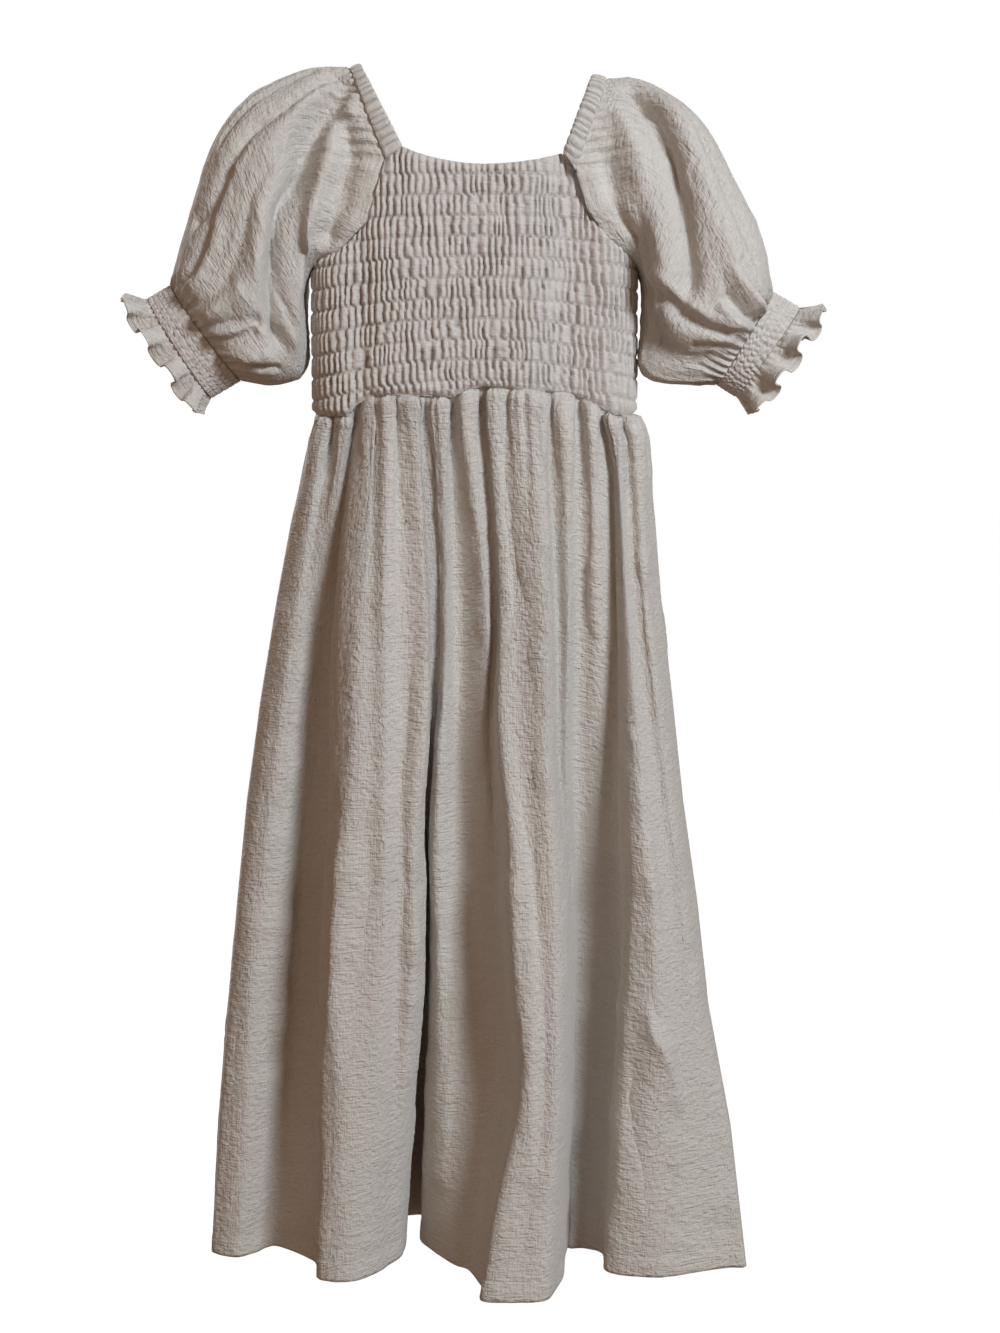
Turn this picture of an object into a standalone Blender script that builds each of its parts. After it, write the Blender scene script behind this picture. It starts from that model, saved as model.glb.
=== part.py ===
"""A child's peasant dress, hollow and softly filled out, as it hangs from its two shoulder tops.

Metres, +Z up, the front faces -Y and +X is the viewer's right. The origin lies midway between the
shoulder tops. Tables are in millimetres; "out" is the distance towards the viewer, along -Y.
"""

import math

import bpy
import numpy as np

MM = 0.001
WALL = 0.0013
SEAM_GAP = 0.0003
HEM_Z = -0.926

BODICE_CENTRE_X = -0.001
BODICE_HALF_WIDTH = 0.1200
BODICE_NECK_DEPTH = 0.038
BODICE_WAIST_DEPTH = 0.048
BODICE_NECK_Z = -0.060
BODICE_WAIST_Z = -0.250
SECTION_POWER = 2.5
SECTION_SAMPLES = 2001
SIDE_SHARE = 1 - 1e-6

SHIRR_FIRST_Z = -0.0505
SHIRR_PITCH = 0.0150
SHIRR_ROWS = 15
PUCKER_HEIGHT = 0.0021
SEAM_HEIGHT = 0.0004
SIDE_FADE_CELLS = 4
RAGLAN_CELLS = 18
FRONT_CELLS = 30
PLAIN_ROWS_Z = (-0.150, -0.200)
SNAP = 0.0025

WAIST_CENTRE_Z = -0.240
WAIST_SIDE_Z = -0.257

# The upper edge of the bodice, from underarm to underarm over the raglans and the neckline.
# Columns: x, z.
UPPER_EDGE = (
    (-121, -142),
    (-101, -136),
    (-89, -124),
    (-80, -115),
    (-74, -95),
    (-66, -70),
    (-53, -61),
    (-25, -70.5),
    (6, -73.5),
    (33, -72),
    (65, -65),
    (74, -78),
    (83, -107),
    (99, -127),
    (119, -142),
)
LEFT_RAGLAN_TOP = 5
RIGHT_RAGLAN_TOP = 11

# Heights of the waist, hip, knee and hem stations of the skirt.
STATION_Z = (-264, -396, -632, -926)

# One row for each fold line of the front skirt, from the left side seam to the right one.
# Columns: line, waist x, waist out, hip x, hip out, knee x, knee out, hem x, hem out.
FRONT_FOLDS = (
    ("left side seam", -122, 0, -153, 0, -186, 2, -211, 14),
    ("left lobe crest", -112, 20, -136, 20, -172, 20, -193, 20),
    ("left lobe fall", -107, 14, -124, 16, -151, 12, -176, 10),
    ("left trough", -99, 24, -116, 6, -136, 0, -161, 0),
    ("second lobe foot", -92, 20, -105, 8, -110, 10, -129, 32),
    ("second lobe brink", -86, 32, -97, 36, -101, 44, -113, 66),
    ("second lobe crest", -77, 40, -82, 52, -89, 62, -100, 66),
    ("second lobe dip", -73, 36, -75, 50, -77, 60, -89, 62),
    ("second lobe second crest", -64, 46, -67, 58, -67, 62, -80, 51),
    ("second lobe second dip", -57, 40, -52, 50, -56, 54, -70, 34),
    ("second lobe right", -47, 48, -35, 52, -45, 50, -62, 20),
    ("second lobe right brink", -42, 44, -33, 42, -43, 36, -57, 0),
    ("deep gap left", -39, 38, -31, 24, -42, 0, -56, -64),
    ("deep gap right", -36, 38, -29, 24, -39, -2, -47, -65),
    ("narrow fold foot", -31, 44, -27, 30, -36, 14, -42, 0),
    ("narrow fold crest", -23, 50, -22, 38, -23, 34, -33, 14),
    ("centre trough", -17, 34, -10, 16, 1, 22, -17, 38),
    ("centre small ridge", -8, 50, 8, 26, 12, 28, -7, 46),
    ("centre lobe foot", 6, 34, 17, 22, 23, 36, 3, 74),
    ("centre lobe crest", 14, 52, 25, 60, 38, 80, 14, 103),
    ("centre lobe dip", 24, 44, 34, 52, 49, 76, 34, 103),
    ("centre lobe second crest", 35, 54, 50, 62, 64, 80, 53, 99),
    ("centre lobe brink", 50, 52, 57, 58, 72, 66, 64, 73),
    ("tucked valley", 55, 42, 62, 40, 76, 44, 70, 36),
    ("tucked ridge", 67, 50, 70, 44, 80, 30, 73, 2),
    ("recess valley", 77, 34, 81, 14, 86, 4, 77, 4),
    ("recess ridge", 84, 44, 93, 22, 100, 6, 86, 4),
    ("recess right", 94, 32, 109, 16, 114, 10, 99, 18),
    ("right lobe brink", 98, 38, 113, 30, 119, 30, 103, 44),
    ("right lobe crest", 101, 40, 116, 44, 137, 56, 128, 58),
    ("right lobe dip", 107, 26, 122, 34, 151, 44, 153, 59),
    ("right lobe second crest", 113, 28, 128, 34, 159, 38, 180, 52),
    ("right lobe fall", 118, 16, 135, 22, 166, 26, 200, 45),
    ("right side seam", 120, 0, 142, 0, 173, 5, 214, 36),
)

# One row for each fold line of the back skirt, from right to left. A lift stands out from the panel.
# Columns: waist x, hem x, lift at the hem.
BACK_FOLDS = (
    (112, 204, -4),
    (101, 192, 8),
    (91, 178, 6),
    (80, 160, -10),
    (70, 140, 11),
    (60, 120, 8),
    (50, 102, -12),
    (39, 84, -6),
    (29, 66, 13),
    (19, 46, 7),
    (9, 26, -13),
    (-1, 8, -8),
    (-11, -10, 12),
    (-21, -28, 9),
    (-31, -48, 3),
    (-41, -62, 2),
    (-50, -86, 13),
    (-60, -104, 9),
    (-70, -122, -12),
    (-79, -141, -9),
    (-90, -158, 12),
    (-101, -176, 10),
    (-112, -196, -6),
)
# The side outline of the skirt as hung. Columns: z, left x, right x.
SIDE_PROFILE = (
    (-264, -122, 126),
    (-276, -127, 131),
    (-338, -142, 138),
    (-398, -154, 143),
    (-478, -168, 153),
    (-557, -180, 162),
    (-638, -189, 174),
    (-718, -197, 183),
    (-814, -206, 201),
    (-926, -213, 214),
)
SIDE_PULL_POWER = 4
BACK_DEPTHS = (46, 58, 70, 78)
BACK_LIFT_SHARES = (0.25, 0.55, 0.85, 1.0)
BACK_SPREAD_SHARES = (0.0, 0.30, 0.66, 1.0)
SKIRT_ROWS = 10
SKIRT_FIRST_DROP = 0.009
SKIRT_ROW_SPREAD = 1.15

# Sections of the sleeves, from the armhole to the cuff.
# Columns: outer end x, outer end z, inner end x, inner end z, half depth, shift forward.
LEFT_SLEEVE_RINGS = (
    (-122, -1, -128.5, -164, 35, 0),
    (-167, -20, -127.5, -189, 43, 0),
    (-195, -53, -127, -209, 47, 0),
    (-213, -103, -133, -229, 47, 0),
    (-225, -142, -155, -235, 38, 0),
    (-230, -161, -180, -230, 19, 0),
)
LEFT_CUFF_END = (-247, -171, -202, -243, 18, 3)
LEFT_RUFFLE_EDGE = (-269, -169, -212, -259, 24, 5)
RIGHT_SLEEVE_RINGS = (
    (125, -10, 126, -164, 35, 0),
    (167, -38, 124, -197, 43, 0),
    (195, -83, 123.5, -220, 47, 0),
    (215, -123, 136, -232, 47, 0),
    (222, -152, 163, -235, 38, 0),
    (224, -166, 184, -233, 19, 2),
)
RIGHT_CUFF_END = (244, -178, 198, -242, 18, 8)
RIGHT_RUFFLE_EDGE = (264, -178, 212, -257, 25, 14)
RING_POINTS = 32
RUFFLE_POINTS = 40
CASING_POINTS = 7
SLEEVE_STEPS = (0.0, 0.35, 0.9, 1.7, 2.4, 3.1, 3.8, 4.5, 5.1, 5.6, 6.0)
UNDERARM_CLEARANCE = 0.0008
SLEEVE_SEAM_GAP = 0.0009
SLEEVE_GATHER = 0.0016
SLEEVE_GATHER_START = 4.4
CUFF_RELIEF = (0.0, 0.0016, 0.0004, 0.0016, 0.0)
RUFFLE_WAVES = 10
RUFFLE_WAVE_HEIGHT = 0.0045
RUFFLE_ROWS = 3

# Large folds of the sleeves. Columns: height (a trough is negative), width as a share of the way
# round, and a line of points, each a step along the sleeve and a share of the way round.
LEFT_SLEEVE_FOLDS = (
    (-8, 0.040, ((0.2, 0.10), (0.9, 0.18), (1.4, 0.26), (2.9, 0.265), (3.7, 0.30))),
    (6, 0.035, ((0.2, 0.13), (0.8, 0.25), (0.9, 0.33))),
    (-5, 0.030, ((0.45, 0.20), (0.45, 0.27), (0.4, 0.31))),
    (4, 0.045, ((1.4, 0.15), (2.7, 0.17), (4.2, 0.19))),
)
RIGHT_SLEEVE_FOLDS = (
    (-8, 0.040, ((0.8, 0.08), (1.4, 0.15), (1.8, 0.20), (2.6, 0.215), (3.4, 0.21))),
    (5, 0.035, ((0.1, 0.11), (0.8, 0.17), (1.2, 0.245), (2.0, 0.26))),
    (-5, 0.030, ((0.2, 0.15), (0.5, 0.19), (0.75, 0.24), (0.7, 0.31))),
    (4, 0.040, ((1.9, 0.08), (2.4, 0.155), (3.4, 0.17), (5.0, 0.185))),
    (-5, 0.045, ((1.6, 0.40), (3.0, 0.36), (4.3, 0.34))),
)
FOLD_STEP_LENGTH = 0.1
FOLD_FADE_STEPS = 0.5

# Edges of the neck casings. Columns: shoulder top x and z, front neck corner x and z.
LEFT_CASING_INNER = (-85, 1, -53, -61)
LEFT_CASING_OUTER = (-93, -2, -66, -70)
RIGHT_CASING_INNER = (87, -8, 65, -65)
RIGHT_CASING_OUTER = (98, -10, 74, -78)
CASING_RUCHES = 16
CASING_RIDGE = 0.0022
CASING_VALLEY = 0.0012
CASING_LIFT = 0.0005
CASING_LIFT_POWER = 4
CASING_SHOULDER = 0.25

LEFT = -1
RIGHT = 1
CREAM = (0.56, 0.50, 0.44)
PALE_CREAM = (0.60, 0.54, 0.48)
CLOTH_ROUGHNESS = 0.92


def clear_scene():
    for obj in list(bpy.data.objects):
        bpy.data.objects.remove(obj, do_unlink=True)


def cloth_material(name, colour):
    material = bpy.data.materials.new(name)
    material.use_nodes = True
    shader = material.node_tree.nodes["Principled BSDF"]
    shader.inputs["Base Color"].default_value = (*colour, 1.0)
    shader.inputs["Roughness"].default_value = CLOTH_ROUGHNESS
    shader.inputs["Metallic"].default_value = 0.0
    return material


def add_piece(collection, name, points, faces, colour):
    """A named object from its points and faces, in its own material."""
    mesh = bpy.data.meshes.new(name)
    mesh.from_pydata(np.asarray(points).tolist(), [], faces)
    mesh.materials.append(cloth_material(name + "_cloth", colour))
    mesh.shade_smooth()
    obj = bpy.data.objects.new(name, mesh)
    collection.objects.link(obj)
    return obj


def unit(vectors):
    vectors = np.asarray(vectors, float)
    return vectors / np.linalg.norm(vectors, axis=-1, keepdims=True)


def smooth_curve(at, knots, values):
    """Values read at the given places from a smooth curve that passes through the knots."""
    knots = np.asarray(knots, float)
    values = np.asarray(values, float)
    at = np.clip(np.asarray(at, float), knots[0], knots[-1])
    slopes = np.gradient(values, knots, axis=0)
    left = np.clip(np.searchsorted(knots, at, side="right") - 1, 0, len(knots) - 2)
    width = knots[left + 1] - knots[left]
    t = (at - knots[left]) / width
    shape = (-1,) + (1,) * (values.ndim - 1)
    t = t.reshape(shape)
    width = width.reshape(shape)
    return (
        (2 * t**3 - 3 * t**2 + 1) * values[left]
        + (t**3 - 2 * t**2 + t) * width * slopes[left]
        + (3 * t**2 - 2 * t**3) * values[left + 1]
        + (t**3 - t**2) * width * slopes[left + 1]
    )


def grid_faces(index, closed=False, turned=False):
    """Faces of a grid of point numbers. Numbers that repeat make triangles, or no face."""
    faces = []
    rows, columns = index.shape
    for row in range(rows - 1):
        for column in range(columns if closed else columns - 1):
            beside = (column + 1) % columns
            corners = [
                index[row, column],
                index[row + 1, column],
                index[row + 1, beside],
                index[row, beside],
            ]
            face = [int(c) for k, c in enumerate(corners) if c != corners[k - 1]]
            if len(face) > 2:
                faces.append(face[::-1] if turned else face)
    return faces


def join_chains(first, second, first_at, second_at):
    """Triangles between two rows of point numbers, paired by how far along each point lies."""
    faces = []
    a = b = 0
    while a < len(first) - 1 or b < len(second) - 1:
        step_first = b == len(second) - 1 or (
            a < len(first) - 1 and first_at[a + 1] <= second_at[b + 1]
        )
        if step_first:
            faces.append([int(first[a]), int(first[a + 1]), int(second[b])])
            a += 1
        else:
            faces.append([int(first[a]), int(second[b + 1]), int(second[b])])
            b += 1
    return faces


def grid_normals(grid, closed):
    """Outward unit normals of a grid whose rows run down and whose columns run around."""
    if closed:
        around = np.roll(grid, -1, axis=1) - np.roll(grid, 1, axis=1)
    else:
        around = np.gradient(grid, axis=1)
    down = np.gradient(grid, axis=0)
    return unit(np.cross(down, around))


def in_plane(ring, normals):
    """The normals of a ring, turned into the ring's own plane."""
    quarter = len(ring) // 4
    middle = ring.mean(axis=0)
    axis = unit(np.cross(ring[0] - middle, ring[quarter] - middle))
    return unit(normals - axis * (normals @ axis)[:, None])


def tube_piece(collection, name, outer, flat_ends, colour):
    """A closed wall round a tube that is open at both ends. Flat ends meet their neighbour squarely."""
    normals = grid_normals(outer, closed=True)
    for end in flat_ends:
        normals[end] = in_plane(outer[end], normals[end])
    inner = outer - WALL * normals
    rows, columns = outer.shape[:2]
    index = np.arange(rows * columns).reshape(rows, columns)
    inside = index + rows * columns
    faces = grid_faces(index, closed=True) + grid_faces(inside, closed=True, turned=True)
    faces += grid_faces(np.stack([inside[0], index[0]]), closed=True)
    faces += grid_faces(np.stack([index[-1], inside[-1]]), closed=True)
    points = np.concatenate([outer.reshape(-1, 3), inner.reshape(-1, 3)])
    return add_piece(collection, name, points, faces, colour)


def panel_piece(collection, name, outer, inner, colour):
    """A closed wall of an open panel, from its outer and inner points."""
    rows, columns = outer.shape[:2]
    index = np.arange(rows * columns).reshape(rows, columns)
    inside = index + rows * columns
    faces = grid_faces(index) + grid_faces(inside, turned=True)
    faces += grid_faces(np.stack([inside[0], index[0]]))
    faces += grid_faces(np.stack([index[-1], inside[-1]]))
    faces += grid_faces(np.stack([inside[:, 0], index[:, 0]]), turned=True)
    faces += grid_faces(np.stack([index[:, -1], inside[:, -1]]), turned=True)
    points = np.concatenate([outer.reshape(-1, 3), inner.reshape(-1, 3)])
    return add_piece(collection, name, points, faces, colour)


def bodice_depth(z):
    share = (np.asarray(z) - BODICE_NECK_Z) / (BODICE_WAIST_Z - BODICE_NECK_Z)
    return BODICE_NECK_DEPTH + (BODICE_WAIST_DEPTH - BODICE_NECK_DEPTH) * share


def bodice_out(x, z):
    """How far the bodice stands out at a place across it, from its rounded section."""
    share = np.clip(np.abs(np.asarray(x) - BODICE_CENTRE_X) / BODICE_HALF_WIDTH, 0, 1)
    out = bodice_depth(z) * (1 - share**SECTION_POWER) ** (1 / SECTION_POWER)
    return np.maximum(out, SEAM_GAP / 2)


def bodice_points(x, z, lift):
    """Points of the front bodice, raised by lift along the section's normal."""
    x, z, lift = np.broadcast_arrays(x, z, lift)
    out = bodice_out(x, z)
    across = (x - BODICE_CENTRE_X) / BODICE_HALF_WIDTH
    power = SECTION_POWER - 1
    normal_x = np.sign(across) * np.abs(across) ** power / BODICE_HALF_WIDTH
    normal_out = (out / bodice_depth(z)) ** power / bodice_depth(z)
    length = np.hypot(normal_x, normal_out)
    side = np.abs(across) > SIDE_SHARE
    normal_x = np.where(side, np.sign(across), normal_x / length)
    normal_out = np.where(side, 0.0, normal_out / length)
    return np.stack([x + lift * normal_x, -(out + lift * normal_out), z], axis=-1)


def bodice_columns():
    """Places across the bodice, evenly spaced along its section in each of its three stretches."""
    angle = np.linspace(-math.pi / 2, math.pi / 2, SECTION_SAMPLES)
    x = np.sign(angle) * np.abs(np.sin(angle)) ** (2 / SECTION_POWER)
    x = BODICE_CENTRE_X + BODICE_HALF_WIDTH * x
    out = bodice_out(x, BODICE_WAIST_Z)
    run = np.concatenate([[0], np.cumsum(np.hypot(np.diff(x), np.diff(out)))])
    tops = np.interp([UPPER_EDGE[k][0] * MM for k in (LEFT_RAGLAN_TOP, RIGHT_RAGLAN_TOP)], x, run)
    places = np.concatenate([
        np.linspace(0, tops[0], RAGLAN_CELLS + 1),
        np.linspace(tops[0], tops[1], FRONT_CELLS + 1)[1:],
        np.linspace(tops[1], run[-1], RAGLAN_CELLS + 1)[1:],
    ])
    return np.interp(places, run, x)


def upper_edge(columns):
    """Height of the upper edge at each column. Odd raglan columns lie on the line between even ones."""
    table = np.array(UPPER_EDGE) * MM
    height = np.interp(columns, table[:, 0], table[:, 1])
    for start in (0, RAGLAN_CELLS + FRONT_CELLS):
        shared = np.arange(start, start + RAGLAN_CELLS + 1, 2)
        span = slice(start, start + RAGLAN_CELLS + 1)
        height[span] = np.interp(columns[span], columns[shared], height[shared])
    return height


def waist_seam(x):
    share = np.clip(np.abs(np.asarray(x) - BODICE_CENTRE_X) / BODICE_HALF_WIDTH, 0, 1)
    return WAIST_CENTRE_Z + (WAIST_SIDE_Z - WAIST_CENTRE_Z) * share**2


def clipped_rows(levels, top, bottom):
    """Heights of a grid of level rows, held between an upper and a lower edge."""
    height = np.repeat(np.asarray(levels)[:, None], len(top), axis=1)
    height = np.where(height > top - SNAP, top, height)
    return np.where(height < bottom + SNAP, bottom, height)


def clipped_index(height):
    """Point numbers of a clipped grid, where rows that lie on each other share one point."""
    index = np.zeros(height.shape, int)
    keep = []
    for column in range(height.shape[1]):
        for row in range(height.shape[0]):
            if row == 0 or height[row, column] != height[row - 1, column]:
                keep.append((row, column))
            index[row, column] = len(keep) - 1
    return index, tuple(np.array(keep).T)


def pucker_lift(height, top, bottom):
    """Raised puckers between the stitched rows, turned half a pucker from band to band."""
    rows, columns = height.shape
    row, column = np.indices((rows, columns))
    band = row // 2
    raised = (row % 2 == 1) & ((column + band) % 2 == 1)
    side_fade = np.minimum(column, columns - 1 - column) / SIDE_FADE_CELLS
    full = SEAM_HEIGHT + (PUCKER_HEIGHT - SEAM_HEIGHT) * np.clip(side_fade, 0, 1)
    at_edge = (height >= top) | (height <= bottom)
    return np.where(raised & ~at_edge, full, SEAM_HEIGHT)


def bodice_panel(collection, name, side_y, colour):
    """A shirred panel: dense puckers outside, a plain wall inside. side_y is -1 in front, 1 behind."""
    columns = bodice_columns()
    top = upper_edge(columns)
    bottom = waist_seam(columns) + SEAM_GAP / 2
    levels = SHIRR_FIRST_Z - SHIRR_PITCH / 2 * np.arange(2 * SHIRR_ROWS)
    height = clipped_rows(levels, top, bottom)
    index, keep = clipped_index(height)
    outer = bodice_points(columns[None, :], height, pucker_lift(height, top, bottom))[keep]

    plain = columns[::2]
    plain_rows = [top[::2]] + [np.full(len(plain), z) for z in PLAIN_ROWS_Z] + [bottom[::2]]
    inner = bodice_points(plain[None, :], np.stack(plain_rows), SEAM_HEIGHT - WALL)
    inside = np.arange(inner[..., 0].size).reshape(inner.shape[:2]) + len(outer)

    faces = grid_faces(index) + grid_faces(inside, turned=True)
    faces += join_chains(index[0], inside[0], columns, plain)
    faces += [f[::-1] for f in join_chains(index[-1], inside[-1], columns, plain)]
    for edge in (0, -1):
        chain = np.unique(index[:, edge])
        rim = join_chains(chain, inside[:, edge], -outer[chain, 2], -inner[:, edge, 2])
        faces += [f[::-1] for f in rim] if edge == 0 else rim
    points = np.concatenate([outer, inner.reshape(-1, 3)])
    points[:, 1] *= -side_y
    if side_y > 0:
        faces = [face[::-1] for face in faces]
    return add_piece(collection, name, points, faces, colour)


def front_fold_lines():
    """Across and out of each front fold line at the four stations."""
    table = np.array([row[1:] for row in FRONT_FOLDS], float) * MM
    return table[:, 0::2], table[:, 1::2]


def back_fold_lines(front_x, front_out):
    """Across and out of each back fold line at the four stations, between the side seams."""
    table = np.array(BACK_FOLDS, float) * MM
    spread = np.array(BACK_SPREAD_SHARES)
    x = table[:, :1] * (1 - spread) + table[:, 1:2] * spread
    middle = (front_x[0] + front_x[-1]) / 2
    half = (front_x[-1] - front_x[0]) / 2
    share = np.clip(np.abs(x - middle) / half, 0, 1)
    depth = np.array(BACK_DEPTHS) * MM * (1 - share**SECTION_POWER) ** (1 / SECTION_POWER)
    seam_out = (front_out[0] + front_out[-1]) / 2
    lift = table[:, 2:] * np.array(BACK_LIFT_SHARES)
    return x, seam_out * share**SECTION_POWER - depth - lift


def pulled_to_sides(across, z, line_x, front_x):
    """Shifts a fold line by its share of the side outline's own curve."""
    table = np.array(SIDE_PROFILE)[::-1] * MM
    knots = -np.array(STATION_Z) * MM
    middle = (front_x[0] + front_x[-1]) / 2
    half = (front_x[-1] - front_x[0]) / 2
    for side, edge in ((1, front_x[0]), (2, front_x[-1])):
        share = np.clip((line_x - middle) / half * (1 if side == 2 else -1), 0, 1) ** SIDE_PULL_POWER
        shift = np.interp(z, table[:, 0], table[:, side]) - smooth_curve(-z, knots, edge)
        across = across + shift * smooth_curve(-z, knots, share)
    return across


def skirt_ring():
    """Outer points of the whole skirt: rows run down, columns run round from the left side seam."""
    front_x, front_out = front_fold_lines()
    back_x, back_out = back_fold_lines(front_x, front_out)
    x = np.concatenate([front_x, back_x])
    out = np.concatenate([front_out, back_out])
    seam_z = waist_seam(x[:, 0])
    ring_out = bodice_out(x[:, 0], seam_z) + SEAM_HEIGHT
    ring_out[len(front_x):] *= -1
    side = [0, len(front_x) - 1]
    ring_out[side] = 0.0
    ring_x = x[:, 0].copy()
    ring_x[side] = BODICE_CENTRE_X + (BODICE_HALF_WIDTH + SEAM_HEIGHT) * np.array([-1, 1])

    knots = -np.array(STATION_Z) * MM
    below = np.linspace(0, 1, SKIRT_ROWS) ** SKIRT_ROW_SPREAD
    rows = []
    for column in range(len(x)):
        start = seam_z[column] - SKIRT_FIRST_DROP
        z = np.concatenate([[seam_z[column] - SEAM_GAP / 2], start + (HEM_Z - start) * below])
        across = pulled_to_sides(smooth_curve(-z, knots, x[column]), z, x[column], front_x)
        outward = smooth_curve(-z, knots, out[column])
        across[0] = ring_x[column]
        outward[0] = ring_out[column]
        rows.append(np.stack([across, -outward, z], axis=-1))
    ring = widen_ring(np.stack(rows, axis=1))
    ring[0, :, 2] = waist_seam(ring[0, :, 0]) - SEAM_GAP / 2
    return ring, 2 * (len(front_x) - 1)


def widen_ring(lines):
    """Adds a point between each two neighbouring lines of a closed ring, on a cubic through four."""
    before = np.roll(lines, 1, axis=1)
    after = np.roll(lines, -1, axis=1)
    beyond = np.roll(lines, -2, axis=1)
    between = (9 * (lines + after) - (before + beyond)) / 16
    ring = np.empty((lines.shape[0], 2 * lines.shape[1], 3))
    ring[:, 0::2] = lines
    ring[:, 1::2] = between
    return ring


def skirt_panels(collection):
    ring, seam = skirt_ring()
    normals = grid_normals(ring, closed=True)
    normals[0, :, 2] = 0
    inner_ring = ring - WALL * unit(normals)
    total = ring.shape[1]
    spans = {
        "skirt_front": np.arange(seam + 1),
        "skirt_back": np.arange(seam, total + 1) % total,
    }
    for name, span in spans.items():
        outer = ring[:, span].copy()
        inner = inner_ring[:, span].copy()
        for edge, inwards in ((0, 1), (-1, -2)):
            shift = SEAM_GAP / 2 * unit(outer[:, inwards] - outer[:, edge])
            outer[:, edge] += shift
            inner[:, edge] += shift
        panel_piece(collection, name, outer, inner, CREAM)


def casing_edge(ends, angle):
    """An edge of a neck casing, arched from the shoulder top (angle 0) down to the neck corner."""
    top_x, top_z, end_x, end_z = np.array(ends) * MM
    drop = 1 - np.cos(angle)
    x = top_x + (end_x - top_x) * drop
    z = top_z + (end_z - top_z) * drop
    out = bodice_out(end_x, end_z) * np.sin(angle)
    return np.stack([x, -out, z], axis=-1)


def neck_casing(collection, name, inner_ends, outer_ends, side):
    """A ruched casing over the shoulder, from the front neck corner to the back one."""
    angle = np.linspace(-math.pi / 2, math.pi / 2, 2 * CASING_RUCHES + 1)
    inner = casing_edge(inner_ends, angle)
    outer = casing_edge(outer_ends, angle)
    lift = CASING_LIFT * np.abs(np.sin(angle)) ** CASING_LIFT_POWER
    inner[:, 2] += lift
    outer[:, 2] += lift
    across = outer - inner
    along = np.gradient((inner + outer) / 2, axis=0)
    normal = unit(np.cross(along, across)) * side
    ridge = np.where(np.arange(len(angle)) % 2 == 1, CASING_RIDGE, CASING_VALLEY)[:, None]
    shoulder = CASING_SHOULDER * across
    sections = np.stack([
        inner,
        inner + shoulder + ridge * normal,
        outer - shoulder + ridge * normal,
        outer,
        outer - shoulder - CASING_VALLEY * normal,
        inner + shoulder - CASING_VALLEY * normal,
    ], axis=1)
    index = np.arange(sections[..., 0].size).reshape(sections.shape[:2])
    faces = grid_faces(index, closed=True)
    faces += [index[0].tolist(), index[-1].tolist()[::-1]]
    if side == LEFT:
        faces = [face[::-1] for face in faces]
    return add_piece(collection, name, sections.reshape(-1, 3), faces, PALE_CREAM)


def armhole_half(side):
    """The sleeve's front seam edge: down the casing, then down the raglan to the underarm."""
    ends = (LEFT_CASING_INNER, LEFT_CASING_OUTER)
    span = slice(RAGLAN_CELLS, None, -2)
    if side == RIGHT:
        ends = (RIGHT_CASING_INNER, RIGHT_CASING_OUTER)
        span = slice(RAGLAN_CELLS + FRONT_CELLS, None, 2)
    angle = np.linspace(0, math.pi / 2, CASING_POINTS + 1)[:-1]
    neck, casing = (casing_edge(row, angle) for row in ends)
    columns = bodice_columns()
    top = upper_edge(columns)
    raglan = bodice_points(columns, top, SEAM_HEIGHT)[span]
    bodice_normal = unit(raglan - bodice_points(columns, top, 0.0)[span])
    along = np.gradient(raglan, axis=0)
    away = np.concatenate([unit(casing - neck), -side * unit(np.cross(along, bodice_normal))])
    half = np.concatenate([casing, raglan]) + SLEEVE_SEAM_GAP * away
    half[-1] = raglan[-1] + (side * UNDERARM_CLEARANCE, 0, UNDERARM_CLEARANCE / 2)
    half[[0, -1], 1] = 0.0
    return half


def ring_points(row, side, ripple=0.0, waves=RING_POINTS // 2, count=RING_POINTS):
    """A rounded section between its outer and inner ends, with a rippled edge."""
    outer_x, outer_z, inner_x, inner_z, depth, forward = np.array(row) * MM
    angle = np.linspace(0, 2 * math.pi, count, endpoint=False)
    swing = 1 + 2 * ripple / (math.hypot(outer_x - inner_x, outer_z - inner_z)) * np.cos(waves * angle)
    blend_out = (1 + np.cos(angle) * swing) / 2
    x = inner_x + (outer_x - inner_x) * blend_out
    z = inner_z + (outer_z - inner_z) * blend_out
    deep = depth + ripple * np.cos(waves * angle)
    y = side * deep * np.sin(angle) - forward
    return np.stack([x, y, z], axis=-1)


def armhole_ring(side):
    front = armhole_half(side)
    back = front[-2:0:-1] * (1, -1, 1)
    ring = np.concatenate([front, back])
    return ring if side == LEFT else ring * (1, -1, 1)


def distance_to_line(points, line):
    """Shortest distance of each point to a line of straight stretches."""
    nearest = np.full(points.shape[:-1], np.inf)
    for start, end in zip(line[:-1], line[1:]):
        along = end - start
        share = np.clip((points - start) @ along / (along @ along), 0, 1)
        gap = np.linalg.norm(points - start - share[..., None] * along, axis=-1)
        nearest = np.minimum(nearest, gap)
    return nearest


def fold_lift(steps, around, folds):
    """Height of the large folds over a sleeve, the same on its front and its back half."""
    scale = np.array([FOLD_STEP_LENGTH, 1.0])
    front_share = np.minimum(around, 1 - around)
    places = np.stack(np.meshgrid(steps, front_share, indexing="ij"), axis=-1) * scale
    lift = np.zeros(places.shape[:-1])
    for height, width, line in folds:
        distance = distance_to_line(places, np.array(line) * scale)
        lift += height * MM * np.exp(-((distance / width) ** 2))
    return lift


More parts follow.
